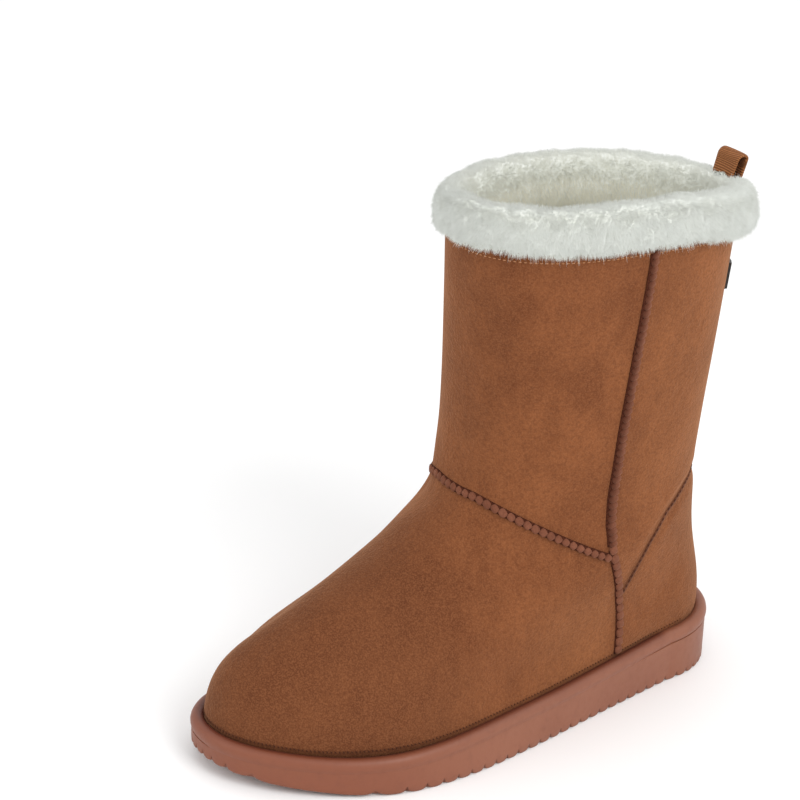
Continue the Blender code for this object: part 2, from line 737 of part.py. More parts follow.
def make_pull_loop(parts):
    """Webbing that rides over the collar's back edge and stands up as a loop."""
    near = GAP
    far = -(WALL + GAP + FACET_SAG)
    middle = (near + far) / 2
    inside = (near - far) / 2
    arc_rise = LOOP_TOP_RISE - inside - LOOP_THICKNESS

    def path(reach):
        turns = [math.pi * k / LOOP_ARC_STEPS for k in range(LOOP_ARC_STEPS + 1)]
        points = [(middle + reach, rise) for rise in (LOOP_FOOT_RISE, 0.0)]
        points += [
            (middle + reach * math.cos(turn), arc_rise + reach * math.sin(turn))
            for turn in turns
        ]
        points += [(middle - reach, rise) for rise in (0.0, LOOP_FOOT_RISE)]
        return [(out + loop_lean(rise), rise) for out, rise in points]

    outer_path = path(inside + LOOP_THICKNESS)
    loop = make_strap_solid(
        "pull_loop", LOOP_WIDTH, LOOP_OFFSET, outer_path, path(inside), parts
    )
    finish(loop)
    return loop


def make_badge(parts):
    """A small blank plate towards the back of the shaft's outer side, below the fur."""
    foot = BADGE_TOP_RISE - BADGE_HEIGHT
    edges = (foot + BADGE_BEVEL, BADGE_TOP_RISE - BADGE_BEVEL)
    face = [(GAP + BADGE_THICKNESS, rise) for rise in edges]
    back = [(GAP, rise) for rise in (foot, BADGE_TOP_RISE)]
    badge = make_strap_solid("back_badge", BADGE_WIDTH, BADGE_OFFSET, face, back, parts)
    finish(badge)
    return badge


def clear_scene():
    for obj in list(bpy.data.objects):
        bpy.data.objects.remove(obj, do_unlink=True)


def main():
    clear_scene()
    parts = bpy.data.collections.new("winter_riding_boot")
    cutters = bpy.data.collections.new("cutters")
    bpy.context.scene.collection.children.link(parts)
    bpy.context.scene.collection.children.link(cutters)
    make_outsole(parts, cutters)
    make_upper(parts)
    make_insole(parts)
    make_fur_cuff(parts, cutters)
    make_pull_loop(parts)
    make_badge(parts)


main()
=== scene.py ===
"""Winter riding boot for the left foot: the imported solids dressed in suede, fur and rubber.

Lengths in the tables are in millimetres, in the boot's own frame: +X to the outer side,
-Y to the toe, +Z up from the floor. Meshes are in metres.
"""

from contextlib import contextmanager
import math

import bpy
import numpy as np
from mathutils import Matrix, Vector, noise
from mathutils.bvhtree import BVHTree
from mathutils.kdtree import KDTree


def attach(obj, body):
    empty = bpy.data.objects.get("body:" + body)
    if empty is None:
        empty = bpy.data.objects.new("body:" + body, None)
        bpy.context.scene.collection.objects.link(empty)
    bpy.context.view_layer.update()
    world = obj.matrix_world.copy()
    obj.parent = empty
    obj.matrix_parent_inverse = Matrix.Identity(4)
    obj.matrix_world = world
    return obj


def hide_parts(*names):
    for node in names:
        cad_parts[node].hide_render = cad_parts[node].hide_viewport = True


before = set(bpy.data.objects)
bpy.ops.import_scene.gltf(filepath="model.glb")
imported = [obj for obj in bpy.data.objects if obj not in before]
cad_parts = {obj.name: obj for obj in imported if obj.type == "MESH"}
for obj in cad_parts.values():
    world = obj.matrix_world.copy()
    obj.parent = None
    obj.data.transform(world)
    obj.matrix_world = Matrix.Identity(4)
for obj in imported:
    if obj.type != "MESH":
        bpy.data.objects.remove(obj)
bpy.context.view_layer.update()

MM = 0.001
random = np.random.default_rng(20)
noise.seed_set(20)

# ---- the boot's own sizes ----
SIDE_SEAM = ((25, 62.5), (35.6, 61.3), (44.3, 60.5), (51.2, 59.1), (61, 56.1), (68.3, 53.7), (76.8, 50.1),
             (88.9, 44.6), (99, 43.3), (105, 42), (120, 41.2), (155, 41.6), (195, 43), (237, 45),
             (251, 45.5))  # height, y
SEAM_FORK = 93.0  # the height where the vamp seam meets the side seam
SEAM_FOOT_Y = 65.0  # where the side seam goes down into the sole
SIDE_SEAM_TOP = 243.0
COUNTER_SEAM = ((53, 52), (57.5, 60.5), (64.1, 75.5), (69.4, 87), (78.8, 100.6), (93.3, 109.2),
                (104, 112.6), (119, 114))  # y, height
COUNTER_SEAM_START = 57.2  # y, just behind the side seam
# Two lines that rise or sag along the boot: height, change, the y where it starts, how far
# it takes, and its curve.
VAMP_SEAM = (87.0, 31.0, 44.0, -55.0, 1.1)
SHAFT_TOP = (250.5, -11.0, 36.0, 86.0, 1.6)
ANKLE_AXIS = (0.5, 42.0)  # x and y of the shaft's axis, at the ankle and at its top
TOP_AXIS = (16.0, 48.0)
# Rays find the suede. They start this far out, from the sides and from the shaft's axis.
SIDE_RAY_START = 150.0
ROUND_RAY_START = 250.0
FOOT_AXIS_REACH = 95.0  # how far along Y the foot's rays spread their starts
FOOT_RAY_HEIGHT = 22.0

# The loops and stitches sewn along the seams: size along, across and out, slant in degrees,
# pitch, lift off the suede, and how much the sizes vary.
SEWN = {
    "side": ((4.5, 3.6, 1.9), -10, 5.2, 0.05, 0.05),
    "side_high": ((3.2, 3.9, 1.7), -26, 3.5, 0.05, 0.05),
    "vamp": ((3.5, 3.0, 1.7), 26, 4.15, 0.15, 0.06),
    "counter": ((2.1, 0.9, 0.9), 0, 2.8, 0.4, 0.0),
    "welt": ((1.3, 0.5, 0.5), 55, 1.85, 0.1, 0.0),
    "hem": ((1.5, 0.42, 0.42), 0, 2.3, 0.08, 0.0),
}
COUNTER_STITCH_SHIFT = (0, -0.35, 0.5)  # from the sewn edge
HEM_STITCH_DROP = 8.8  # from the shaft's top edge
WELT_STITCH_RISE = 1.6  # from the sole's rim
# The dark beds under the loops, painted shade between and beside them: width, and how far they lie to the
# side that shows them.
BED_HEIGHT = 0.4
SIDE_BED = (3.5, 0.9)
SIDE_BED_HIGH = (3.4, 1.4)
VAMP_BED = (3.9, 0.3)
COUNTER_EDGE = (2.5, 0.45)  # width and height
PIPING_PITCH = 1.2
PIPING_SIDES = 8

# The sole's outline: centre and half width at stations from the heel to the toe.
SOLE_LENGTH = 277.0
SOLE_STATIONS = (0.15, 0.5, 0.72, 1.0)
SOLE_CENTRES = (0.0, 6.2, 2.5, -12.8)
SOLE_HALVES = (39.5, 46.0, 53.0, 45.3)
TOE_ROUND = 76.0
HEEL_ROUND = 39.0
ROUNDNESS = 2.2
RIM_TOP = ((-138, 21.0), (-100, 18.8), (-55, 19.2), (14, 21.8), (70, 24.9), (138, 29.4))  # y, height
TOE_SPRING = 7.6
SPRING_START = -58.0
TREAD_PITCH = 4.9
TREAD_DEPTH = 3.0
TREAD_ANGLE = math.radians(52.0)  # of a rib, from +X towards +Y
ACROSS_RIBS = np.array((-math.sin(TREAD_ANGLE), math.cos(TREAD_ANGLE)))
TREAD_STEPS = 10  # stations in one rib
TREAD_RUNGS = 12
TREAD_END_STATIONS = 16  # closer stations, at either end of the sole
TREAD_END_GROWTH = 0.015
LOBE_ROUNDNESS = 2.6
OUTLINE_STEPS = 3000

# The sole's wall, up from the tread: inset from the outline, then height above the tread's
# lobes as a share of the way to LOBE_TOP.
LOBE_TOP = 3.5
LOBE_PROFILE = ((1.3, 0.0), (0.75, 0.06), (0.5, 0.25), (0.45, 0.6), (0.45, 1.0))
NOTCH_INSET = 0.55  # how much deeper the wall lies between two lobes
NOTCH_SHARPNESS = 5
BALL_FLARE = 2.6  # how far the wall's foot stands out beside the ball
BALL_FLARE_Y = -18.0
BALL_FLARE_REACH = 42.0
# The wall above the lobes: inset, share of the ball's flare, share of the groove's depth,
# share of the way up from the lobes to the groove, and rise from there.
WALL_PROFILE = ((0.5, 1, 0, 0, 0.35), (0.5, 0.9, 0, 0, 1.0), (0.5, 0.5, 0, 0.5, 0), (0.5, 0, 0, 1, -0.9),
                (0.52, 0, 0, 1, -0.35), (0.5, 0, 1, 1, 0), (0.45, 0, 0, 1, 0.4))
GROOVE_DROP = 6.2  # from the rim's top to the groove
GROOVE_DEPTH = 1.1
GROOVE_STRAIGHT_Y = 70.0  # behind this the groove doesn't follow the rim's curve
# Where the groove starts and how soon it is deep: round the heel, and at the toe's inner side.
GROOVE_HEEL_Y = (66.0, 34.0)
GROOVE_TOE_Y = (-90.0, -20.0)
GROOVE_TOE_X = (-5.0, -12.0)
SEAT_DROP = 2.5  # from the rim's top to the seat under the foot
# The rim: inset from the outline, and rise from the rim's top line.
RIM_PROFILE = ((0.4, -5.7), (0.25, -5.0), (0.1, -4.4), (0.05, -3.2), (0.3, -2.1), (0.75, -1.2), (1.4, -0.5),
               (2.2, -0.05), (3.1, 0.15), (4.0, 0.1), (4.9, -0.15), (5.7, -0.5), (6.3, -1.0), (6.5, -2.5))

LOOP_ARC_RADIUS = 5.0
LOOP_RIB_PITCH = 1.1

FILL_OUT = 0.5  # how far the suede is brought out after its form is smoothed
LEDGE_REACH = 5.0
LEDGE_PASSES = 14
INSIDE_VIEW = 18.0  # a face that has the boot's own wall this far before it looks inwards
CREASE_STEPS = 12
CREASE_CORE = 0.55  # of a crease's reach
CREASE_END = 0.35  # how deep a crease is at its ends

# Each soft trough or ridge in the suede: how far it is pressed in, how far its softness
# reaches, and the places that it runs through.
CREASES = (
    (2.2, 36, (-31, -4, 112), (-27, -28, 93), (-23, -46, 85), (-30, -60, 70), (-23, -94, 64),
     (-31, -108, 50)),
    (3.4, 17, (-37, 6, 116), (-30, -9, 108), (-18, -17, 108), (-2, -18, 112)),
    (1.9, 20, (-24, -88, 66), (-31, -103, 53), (-36, -111, 42)),
    (1.2, 14, (-36, 2, 116), (-31, -10, 104), (-27, -19, 99), (-27, -29, 92)),
    (-0.9, 30, (52, 100, 215), (48, 102, 175), (42, 108, 135), (38, 110, 100), (38, 106, 72)),
    (1.3, 8, (15.8, -104, 54), (15.9, -92, 62), (13.6, -77, 71)),
    (1.3, 8, (32.6, -57, 66), (38.8, -33, 70), (41.7, -14, 74), (44.7, 3, 78)),
    (-0.8, 9, (14, -8, 138), (41, 9, 142), (53, 39, 136)),
    (0.9, 7, (16, -10, 127), (41, 9, 125), (52, 34, 112)),
    (1.2, 9, (38.8, 91, 60), (38, 95, 54)),
    (0.7, 5, (52, 53, 119), (51, 71, 121)),
    (0.7, 6, (55, 55, 146), (54, 74, 155)),
    (-0.6, 6, (54, 57, 133), (50, 80, 140)),
    (0.9, 9, (58, 76, 208), (57, 80, 198)),
    (0.5, 3.2, (49, -42, 31), (49, -38, 38)),
    (0.5, 3.2, (48.5, -28, 29), (48, -24, 36)),
    (0.5, 3.2, (47, -14, 28), (47, -10, 35)),
    (0.7, 6, (-2, -120, 51), (-5, -111, 59), (-5, -98, 66)),
    (0.8, 9, (47, 17, 81), (49, 33, 80)),
    (0.8, 10, (28, -18, 190), (30, -16, 215)),
    (1.3, 9, (-20, -96, 55), (-24, -76, 62), (-22, -60, 72)),
    (1.2, 10, (-38, -20, 72), (-42, 14, 72)),
    (1.0, 10, (-40, 10, 128), (-46, 44, 120)),
    (1.1, 9, (-38, 88, 62), (-38, 96, 58)),
    (0.8, 10, (-44, 60, 108), (-36, 98, 118)),
    (0.8, 12, (-40, 30, 172), (-38, 70, 184)),
)


# ---- modelling helpers ----
def work_on(obj):
    bpy.ops.object.select_all(action="DESELECT")
    obj.select_set(True)
    bpy.context.view_layer.objects.active = obj


@contextmanager
def edit_mode(obj, chosen=None, kind="VERT"):
    """Edit mode, with all of the mesh selected, or the chosen points or faces."""
    work_on(obj)
    bpy.ops.object.mode_set(mode="EDIT")
    bpy.ops.mesh.select_mode(type=kind)
    bpy.ops.mesh.select_all(action="SELECT" if chosen is None else "DESELECT")
    if chosen is not None:
        bpy.ops.object.mode_set(mode="OBJECT")
        mesh = obj.data
        (mesh.vertices if kind == "VERT" else mesh.polygons).foreach_set("select", chosen)
        bpy.ops.object.mode_set(mode="EDIT")
    yield
    bpy.ops.object.mode_set(mode="OBJECT")


def add_object(name, data):
    obj = bpy.data.objects.new(name, data)
    bpy.context.scene.collection.objects.link(obj)
    return obj


def apply_modifier(obj, kind, **settings):
    work_on(obj)
    modifier = obj.modifiers.new(kind.lower(), kind)
    for name, value in settings.items():
        setattr(modifier, name, value)
    bpy.ops.object.modifier_apply(modifier=modifier.name)


def copy_of(node, name):
    """A merged copy of a CAD node, as quads, with no normals of its own."""
    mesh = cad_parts[node].data.copy()
    mesh.name = name
    mesh.materials.clear()
    obj = add_object(name, mesh)
    work_on(obj)
    bpy.ops.mesh.customdata_custom_splitnormals_clear()
    with edit_mode(obj):
        bpy.ops.mesh.remove_doubles(threshold=0.01 * MM)
        bpy.ops.mesh.tris_convert_to_quads(face_threshold=math.radians(40), shape_threshold=math.radians(60))
    return obj


def held(values):
    return np.clip(values, 0, 1)


def points_of(obj, kind="co"):
    values = np.empty(len(obj.data.vertices) * 3, np.float32)
    obj.data.vertices.foreach_get(kind, values)
    return values.reshape(-1, 3).astype(float)


def normals_of(obj):
    return points_of(obj, "normal")


def move_points(obj, points):
    obj.data.vertices.foreach_set("co", points.astype(np.float32).ravel())
    obj.data.update()


def corners_of(obj):
    """The vertex numbers of the mesh's triangles, and the face that each comes from."""
    obj.data.calc_loop_triangles()
    triangles = obj.data.loop_triangles
    return np.array([t.vertices for t in triangles]), np.array([t.polygon_index for t in triangles])


def add_values(obj, name, values):
    """An attribute with one value for each vertex."""
    obj.data.attributes.new(name, "FLOAT", "POINT").data.foreach_set("value", values.astype(np.float32))


def nearest_on(targets, points):
    """For each point, how far the nearest target is and which it is."""
    near = KDTree(len(targets))
    for i, p in enumerate(targets):
        near.insert(p, i)
    near.balance()
    found = [near.find(p) for p in points]
    return np.array([f[2] for f in found]), np.array([f[1] for f in found])


def tree_of(*objects):
    """One BVH tree of the objects' meshes."""
    points, faces = [], []
    for obj in objects:
        first = len(points)
        points += [tuple(p) for p in points_of(obj)]
        faces += [[first + v for v in face.vertices] for face in obj.data.polygons]
    return BVHTree.FromPolygons(points, faces)


def joined_mesh(name, points, faces, **attributes):
    """One piece from arrays: points (n, 3) and faces, an array of vertex numbers."""
    mesh = bpy.data.meshes.new(name)
    faces = np.asarray(faces)
    mesh.vertices.add(len(points))
    mesh.vertices.foreach_set("co", np.asarray(points, np.float32).ravel())
    mesh.loops.add(faces.size)
    mesh.loops.foreach_set("vertex_index", faces.ravel().astype(np.int32))
    mesh.polygons.add(len(faces))
    mesh.polygons.foreach_set("loop_start", np.arange(len(faces), dtype=np.int32) * faces.shape[1])
    mesh.update(calc_edges=True)
    mesh.shade_smooth()
    obj = add_object(name, mesh)
    for key, values in attributes.items():
        add_values(obj, key, values)
    return obj


def dress(obj, slot, *finishes, replaces=()):
    """Give a piece its finishes and its body. The record slot is not used."""
    for finish in finishes:
        obj.data.materials.append(finish)
    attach(obj, "root")
    if replaces:
        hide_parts(*replaces)


# ---- finishes ----
class Signal:
    """A node's output. Python's operators on it add maths nodes."""

    def __init__(self, finish, socket):
        self.finish, self.socket = finish, socket

    def maths(self, operation, *values):
        return self.finish.node("ShaderNodeMath", {"operation": operation}, dict(enumerate(values)))

    def __add__(self, other):
        return self.maths("ADD", self, other)

    def __rsub__(self, other):
        return self.maths("SUBTRACT", other, self)

    def __mul__(self, other):
        return self.maths("MULTIPLY", self, other)

    __radd__ = __add__
    __rmul__ = __mul__

    def sine(self):
        return self.maths("SINE", self)

    def between(self, low, high):
        """0 below low, 1 above high, and a soft step between them."""
        settings = {"interpolation_type": "SMOOTHSTEP"}
        values = {"Value": self, "From Min": low, "From Max": high}
        return self.finish.node("ShaderNodeMapRange", settings, values)


class Finish:
    """A material, and the nodes that it is made from."""

    def __init__(self, name, roughness, specular=0.5, **constants):
        constants = {"Roughness": roughness, "Specular_IOR_Level": specular, **constants}
        self.material = bpy.data.materials.new(name)
        self.material.use_nodes = True
        self.tree = self.material.node_tree
        self.shader = self.tree.nodes["Principled BSDF"]
        for socket, value in constants.items():
            self.shader.inputs[socket.replace("_", " ")].default_value = value

    def node(self, kind, settings=None, values=None, output=0):
        node = self.tree.nodes.new(kind)
        for name, value in (settings or {}).items():
            setattr(node, name, value)
        for key, value in (values or {}).items():
            self.plug(node.inputs[key], value)
        return Signal(self, node.outputs[output])

    def plug(self, socket, value):
        if isinstance(value, Signal):
            self.tree.links.new(value.socket, socket)
        else:
            socket.default_value = value

    def noise(self, scale, detail=2.0, stretch=(1, 1, 1), roughness=0.5):
        at = self.node("ShaderNodeTexCoord", output="Object")
        place = self.node("ShaderNodeMapping", values={"Vector": at, "Scale": stretch})
        values = {"Vector": place, "Scale": scale, "Detail": detail, "Roughness": roughness}
        return self.node("ShaderNodeTexNoise", values=values)

    def axis(self, letter, scale=1.0):
        """One of the object's own coordinates, times a scale."""
        at = self.node("ShaderNodeTexCoord", output="Object")
        return self.node("ShaderNodeSeparateXYZ", values={"Vector": at}, output=letter) * scale

    def attribute(self, name):
        return self.node("ShaderNodeAttribute", {"attribute_name": name}, output="Fac")

    def mix(self, share, *ends):
        """A colour between two, each a signal, a linear colour or three 0 to 255 screen values."""
        first, second = (colour(*c) if isinstance(c, tuple) and len(c) == 3 else c for c in ends)
        # The sockets go by number, as their names repeat.
        return self.node("ShaderNodeMix", {"data_type": "RGBA"}, {0: share, 6: first, 7: second}, output=2)

    def bump(self, height, depth, normal=None):
        values = {"Height": height, "Distance": depth, "Strength": 1.0}
        if normal is not None:
            values["Normal"] = normal
        return self.node("ShaderNodeBump", values=values)

    def done(self, base, **links):
        for socket, value in {"Base_Color": base, **links}.items():
            self.plug(self.shader.inputs[socket.replace("_", " ")], value)
        return self.material


def colour(red, green, blue):
    """A linear colour from its 0 to 255 screen values."""
    def linear(value):
        value /= 255
        return value / 12.92 if value <= 0.04045 else ((value + 0.055) / 1.055) ** 2.4

    return (linear(red), linear(green), linear(blue), 1.0)


FUR_SHADOW = (156, 158, 147)


def brushed_suede():
    f = Finish("brushed_suede", 0.95, 0.12, Sheen_Weight=0.48, Sheen_Roughness=0.4,
               Sheen_Tint=colour(214, 164, 126))
    patches = f.noise(17, 3, roughness=0.55)
    clouds = f.noise(52, 4, stretch=(1, 1, 0.8), roughness=0.6)
    streaks = f.noise(160, 3, stretch=(1, 1, 0.45), roughness=0.6)
    grain = f.noise(1500, 2)
    speckle = f.noise(760, 2)
    nap = f.noise(430, 2, roughness=0.6)
    tone = patches * 0.45 + clouds * 0.35 + streaks * 0.2
    base = f.mix(tone.between(0.31, 0.67), (99, 55, 31), (131, 79, 47))
    # The suede is darker or paler by where it lies: `height` and `back` are in millimetres. The darker toe
    # is painted shade, for the little light its top gets, together with the suede's darker brushed patches
    # there; the paler back of the shaft is painted light, on the side the light comes from.
    height, back = f.axis("Z", 1 / MM), f.axis("Y", 1 / MM)
    foot = (0 - back).between(0, 60)
    ankle = back.between(-20, 35) * (1 - back.between(50, 66)) * (1 - height.between(50, 90))
    shaft_back = back.between(42, 60) * height.between(95, 130)
    heel = back.between(62, 100) * (1 - height.between(95, 125))
    for share, tint in (
        (foot * 0.48, (74, 40, 24)),
        (ankle * 0.36, (150, 96, 59)),
        (shaft_back * 0.14, (160, 104, 64)),
        (heel * 0.3, (90, 50, 28)),
        (nap.between(0.45, 0.6) * 0.16, (86, 46, 27)),
        (speckle.between(0.42, 0.66) * 0.32, (80, 43, 25)),
        (grain.between(0.42, 0.66) * 0.36, (146, 94, 61)),
        (f.attribute("seam_shade") * 0.5, (62, 34, 21)),
        (f.attribute("rim_shade") * 0.55, (62, 33, 21)),
    ):
        base = f.mix(share, base, tint)
    pile = f.bump(grain * 0.5 + speckle + nap, 0.0003)
    return f.done(base, Normal=f.bump(clouds, 0.0012, pile))


def fleece(name, low, high, depth, glow):
    # The glow is painted light, for the light that the wool scatters among its fibres.
    f = Finish(name, 1.0, 0.1, Emission_Strength=glow)
    curls = f.noise(330, 3, roughness=0.6)
    wool = f.noise(1200, 2)
    base = f.mix(curls.between(0.3, 0.7), low, high)
    # Painted shade, by the tint attribute where a piece has one: on the cuff's shoulder and on its slope
    # into the boot.
    base = f.mix(f.attribute("tint") * 0.7, base, FUR_SHADOW)
    return f.done(base, Emission_Color=base, Normal=f.bump(curls + wool * 0.4, depth))


def long_fur():
    # The glow stands for the light that the fibres scatter among themselves.
    f = Finish("long_fur", 1.0, 0.0, Emission_Strength=0.35)
    tip = f.attribute("tip")
    tint = f.attribute("tint")
    inner = f.attribute("inner")
    outside = f.mix(tip, (194, 197, 190), (209, 212, 207))
    inside = f.mix(tip, (202, 200, 182), (218, 216, 202))
    base = f.mix(inner, outside, inside)
    # Painted shade by the tint attribute: by tuft, on the crest's shoulder and on the slope into the boot.
    base = f.mix(tint * 0.7, base, FUR_SHADOW)
    return f.done(base, Emission_Color=base)


def seam_suede(name, low, high):
    f = Finish(name, 0.95, 0.1, Sheen_Weight=0.2, Sheen_Tint=colour(214, 164, 136))
    grain = f.noise(1300, 2)
    clouds = f.noise(140, 3)
    base = f.mix(clouds.between(0.3, 0.7), low, high)
    base = f.mix(grain.between(0.4, 0.7) * 0.35, base, (86, 49, 36))
    # Painted shade on the side of the loops that faces away from the light.
    base = f.mix(f.attribute("lee") * 0.7, base, (66, 33, 23))
    return f.done(base, Normal=f.bump(grain, 0.0003))


def shaded_suede():
    """Painted shade: a dark suede for the beds between and beside the loops of a seam, where little light
    gets in.
    """
    f = Finish("shaded_suede", 0.95, 0.05)
    grain = f.noise(1300, 2)
    base = f.mix(grain.between(0.35, 0.65), (56, 28, 19), (76, 40, 27))
    return f.done(base, Normal=f.bump(grain, 0.0003))


def sewing_thread(name, shade):
    f = Finish(name, 0.8, 0.1)
    ply = f.noise(2600, 1)
    dark = tuple(0.45 * c for c in colour(*shade)[:3]) + (1.0,)
    base = f.mix(ply.between(0.35, 0.65) * 0.5, shade, dark)
    return f.done(base)


def sole_rubber():
    f = Finish("sole_rubber", 0.48, 0.45)
    clouds = f.noise(22, 3)
    dust = f.noise(240, 3, roughness=0.6)
    base = f.mix(clouds.between(0.3, 0.7), (127, 76, 54), (135, 83, 60))
    base = f.mix((0 - f.axis("Y", 1 / MM)).between(0, 110) * 0.75, base, (123, 64, 38))
    base = f.mix(dust.between(0.45, 0.8) * 0.3, base, (112, 62, 44))
    base = f.mix(f.attribute("rim_shade") * 0.85, base, (82, 34, 23))
    skin = f.bump(dust, 0.0002)
    return f.done(base, Roughness=0.42 + dust * 0.16, Normal=skin)


def ribbed_webbing():
    f = Finish("ribbed_webbing", 0.8, 0.15)
    along = f.attribute("along")
    rib = (along * (2 * math.pi / (LOOP_RIB_PITCH * MM))).sine() * 0.5 + 0.5
    fuzz = f.noise(1800, 2)
    # Painted shade in the ribs' valleys and painted light on their crests.
    base = f.mix(rib.between(0.1, 0.8), (116, 71, 40), (166, 109, 69))
    base = f.mix(fuzz.between(0.4, 0.7) * 0.4, base, (106, 64, 33))
    return f.done(base, Normal=f.bump(rib + fuzz * 0.2, 0.00025))


def badge_leather():
    f = Finish("badge_leather", 0.5, 0.4)
    grain = f.noise(900, 3)
    base = f.mix(grain.between(0.3, 0.7), (26, 23, 21), (44, 38, 34))
    return f.done(base, Roughness=0.42 + grain * 0.2, Normal=f.bump(grain, 0.0002))


# ---- the suede upper ----
def table_value(table, at):
    return float(np.interp(at, *zip(*table)))


def line_height(line, y):
    height, change, start, reach, curve = line
    return height + change * min(max((y - start) / reach, 0), 1) ** curve


def cast(tree, start, direction):
    """The first point of a surface on a line, and its normal."""
    hit, normal, _, _ = tree.ray_cast(Vector(start) * MM, Vector(direction).normalized())
    return None if hit is None else (np.array(hit), np.array(normal))


def side_seam_route(tree, side, low, high, toeward=0.0):
    """A side seam from one height to another, or a line that lies to the toe of it."""
    rows = []
    for z in np.arange(low, high, 1.0):
        start = (side * SIDE_RAY_START, table_value(SIDE_SEAM, z) - toeward, z)
        rows.append(cast(tree, start, (-side, 0, 0)))
    return route_of(rows)


def round_route(tree, turns, height_of, axis=ANKLE_AXIS):
    """A route round the boot's outside. Turn 0 is the toe and 90 the outer side. Its height
    goes by the y that each ray finds, so a few tries settle it."""
    rows = []
    z = height_of(axis[1])
    for turn in np.radians(turns):
        out = np.array((math.sin(turn), -math.cos(turn)))
        hit = None
        for _ in range(6):
            start = np.array(axis) + out * ROUND_RAY_START
            hit = cast(tree, (*start, z), (*-out, 0))
            if hit is None:
                break
            z = height_of(hit[0][1] / MM)
        rows.append(hit)
    return route_of(rows)


def welt_route(tree, lift):
    """A closed route round the foot, `lift` above the sole's rim."""
    rows = []
    for turn in np.radians(np.arange(0, 360, 0.5)):
        out = np.array((math.sin(turn), -math.cos(turn)))
        middle = np.array((0.0, -FOOT_AXIS_REACH * math.cos(turn)))
        z = FOOT_RAY_HEIGHT
        for _ in range(4):
            hit = cast(tree, (*(middle + out * SIDE_RAY_START), z), (*-out, 0))
            z = table_value(RIM_TOP, hit[0][1] / MM) + lift
        rows.append(hit)
    return route_of(rows)


def route_of(rows):
    rows = [row for row in rows if row is not None]
    return np.array([row[0] for row in rows]), np.array([row[1] for row in rows])


def even_frames(route, pitch, lift=0.0):
    """Frames at an even pitch on a route: a point, and the directions along, across and out."""
    points, normals = route
    steps = np.linalg.norm(np.diff(points, axis=0), axis=1)
    length = np.concatenate([[0], np.cumsum(steps)])
    stops = np.arange(pitch * MM / 2, length[-1], pitch * MM)
    near = 0.4 * MM

    def read(values, places):
        return np.stack([np.interp(places, length, column) for column in values.T], axis=1)

    at, out = read(points, stops), read(normals, stops)
    along = unit(read(points, stops + near) - read(points, stops - near))
    out = unit(out - along * np.sum(out * along, axis=1)[:, None])
    across = np.cross(out, along)
    return at + out * lift * MM, along, across, out


def unit(vectors):
    return vectors / np.maximum(np.linalg.norm(vectors, axis=-1, keepdims=True), 1e-12)


def repeat_along(name, pattern, frames, wobble=0.0, lee=0.0):
    """Copies of a pattern mesh on frames, joined as one piece. Its X lies along the route.
    With a side, 1 or -1, an attribute of painted shade grows to 1 at the side of the pattern's +Y or -Y."""
    at, along, across, out = frames
    shape = points_of(pattern)
    corners, _ = corners_of(pattern)
    corners = corners[np.lexsort(corners.T)]  # a primitive's faces come in no fixed order
    swell = 1 + wobble * random.uniform(-1, 1, (len(at), 1, 1))
    local = shape[None] * swell
    points = (at[:, None] + local[..., :1] * along[:, None] + local[..., 1:2] * across[:, None]
              + local[..., 2:] * out[:, None])
    faces = corners[None] + (np.arange(len(at)) * len(shape))[:, None, None]
    half = shape[:, 1].max()
    shade = held(0.5 + lee * shape[:, 1] / half) if lee else np.zeros(len(shape))
    return joined_mesh(name, points.reshape(-1, 3), faces.reshape(-1, 3), lee=np.tile(shade, len(at)))


def shape_primitive(size, slant):
    """Bring what was just added, 2 m across, to a size, and turn it about Z by `slant` degrees."""
    with edit_mode(bpy.context.object):
        bpy.ops.transform.resize(value=[length / 2 * MM for length in size])
        if slant:
            bpy.ops.transform.rotate(value=math.radians(slant), orient_axis="Z", center_override=(0, 0, 0))
    return bpy.context.object


def seam_loop(size, slant):
    """One loop of an overlocked seam: a soft block."""
    bpy.ops.mesh.primitive_cube_add(size=2)
    with edit_mode(bpy.context.object):
        bpy.ops.mesh.subdivide(number_cuts=2)
        bpy.ops.transform.tosphere(value=0.7)
    return shape_primitive(size, slant)


def stitch(size, slant):
    bpy.ops.mesh.primitive_uv_sphere_add(segments=8, ring_count=5, radius=1)
    return shape_primitive(size, slant)


def sewn_row(name, make_pattern, kind, route, lee=0.0):
    """Loops or stitches along a route, as their row of SEWN says."""
    size, slant, pitch, lift, wobble = SEWN[kind]
    pattern = make_pattern(size, slant)
    row = repeat_along(name, pattern, even_frames(route, pitch, lift), wobble, lee)
    bpy.data.objects.remove(pattern, do_unlink=True)
    return row


def press_creases(obj):
    """Press each crease into the suede and its lining along its line, softest at its edge."""
    tree = tree_of(obj)
    mesh = obj.data
    suede = {v for face in mesh.polygons if face.material_index == 0 for v in face.vertices}
    lining = np.array([v not in suede for v in range(len(mesh.vertices))])
    for depth, reach, *stops in CREASES:
        line = []
        for start, end in zip(stops, stops[1:]):
            for share in np.linspace(0, 1, CREASE_STEPS):
                place = Vector(start).lerp(Vector(end), share) * MM
                line.append(tree.find_nearest(place)[0])
        points = points_of(obj)
        normals = np.where(lining[:, None], -1.0, 1.0) * normals_of(obj)
        away, nearest = nearest_on(np.array(line), points)
        ends = np.minimum(nearest, len(line) - 1 - nearest) / (len(line) / 2)
        fade = CREASE_END + (1 - CREASE_END) * held(ends * 2)
        softness = np.exp(-((away / (reach * MM * CREASE_CORE)) ** 2)) * fade
        move_points(obj, points - normals * (softness * depth * MM)[:, None])


def fill_out(upper):
    """Bring the suede out by the little that smoothing its form took away."""
    suede = [face.material_index == 0 for face in upper.data.polygons]
    with edit_mode(upper, suede, "FACE"):
        bpy.ops.transform.shrink_fatten(value=FILL_OUT * MM)


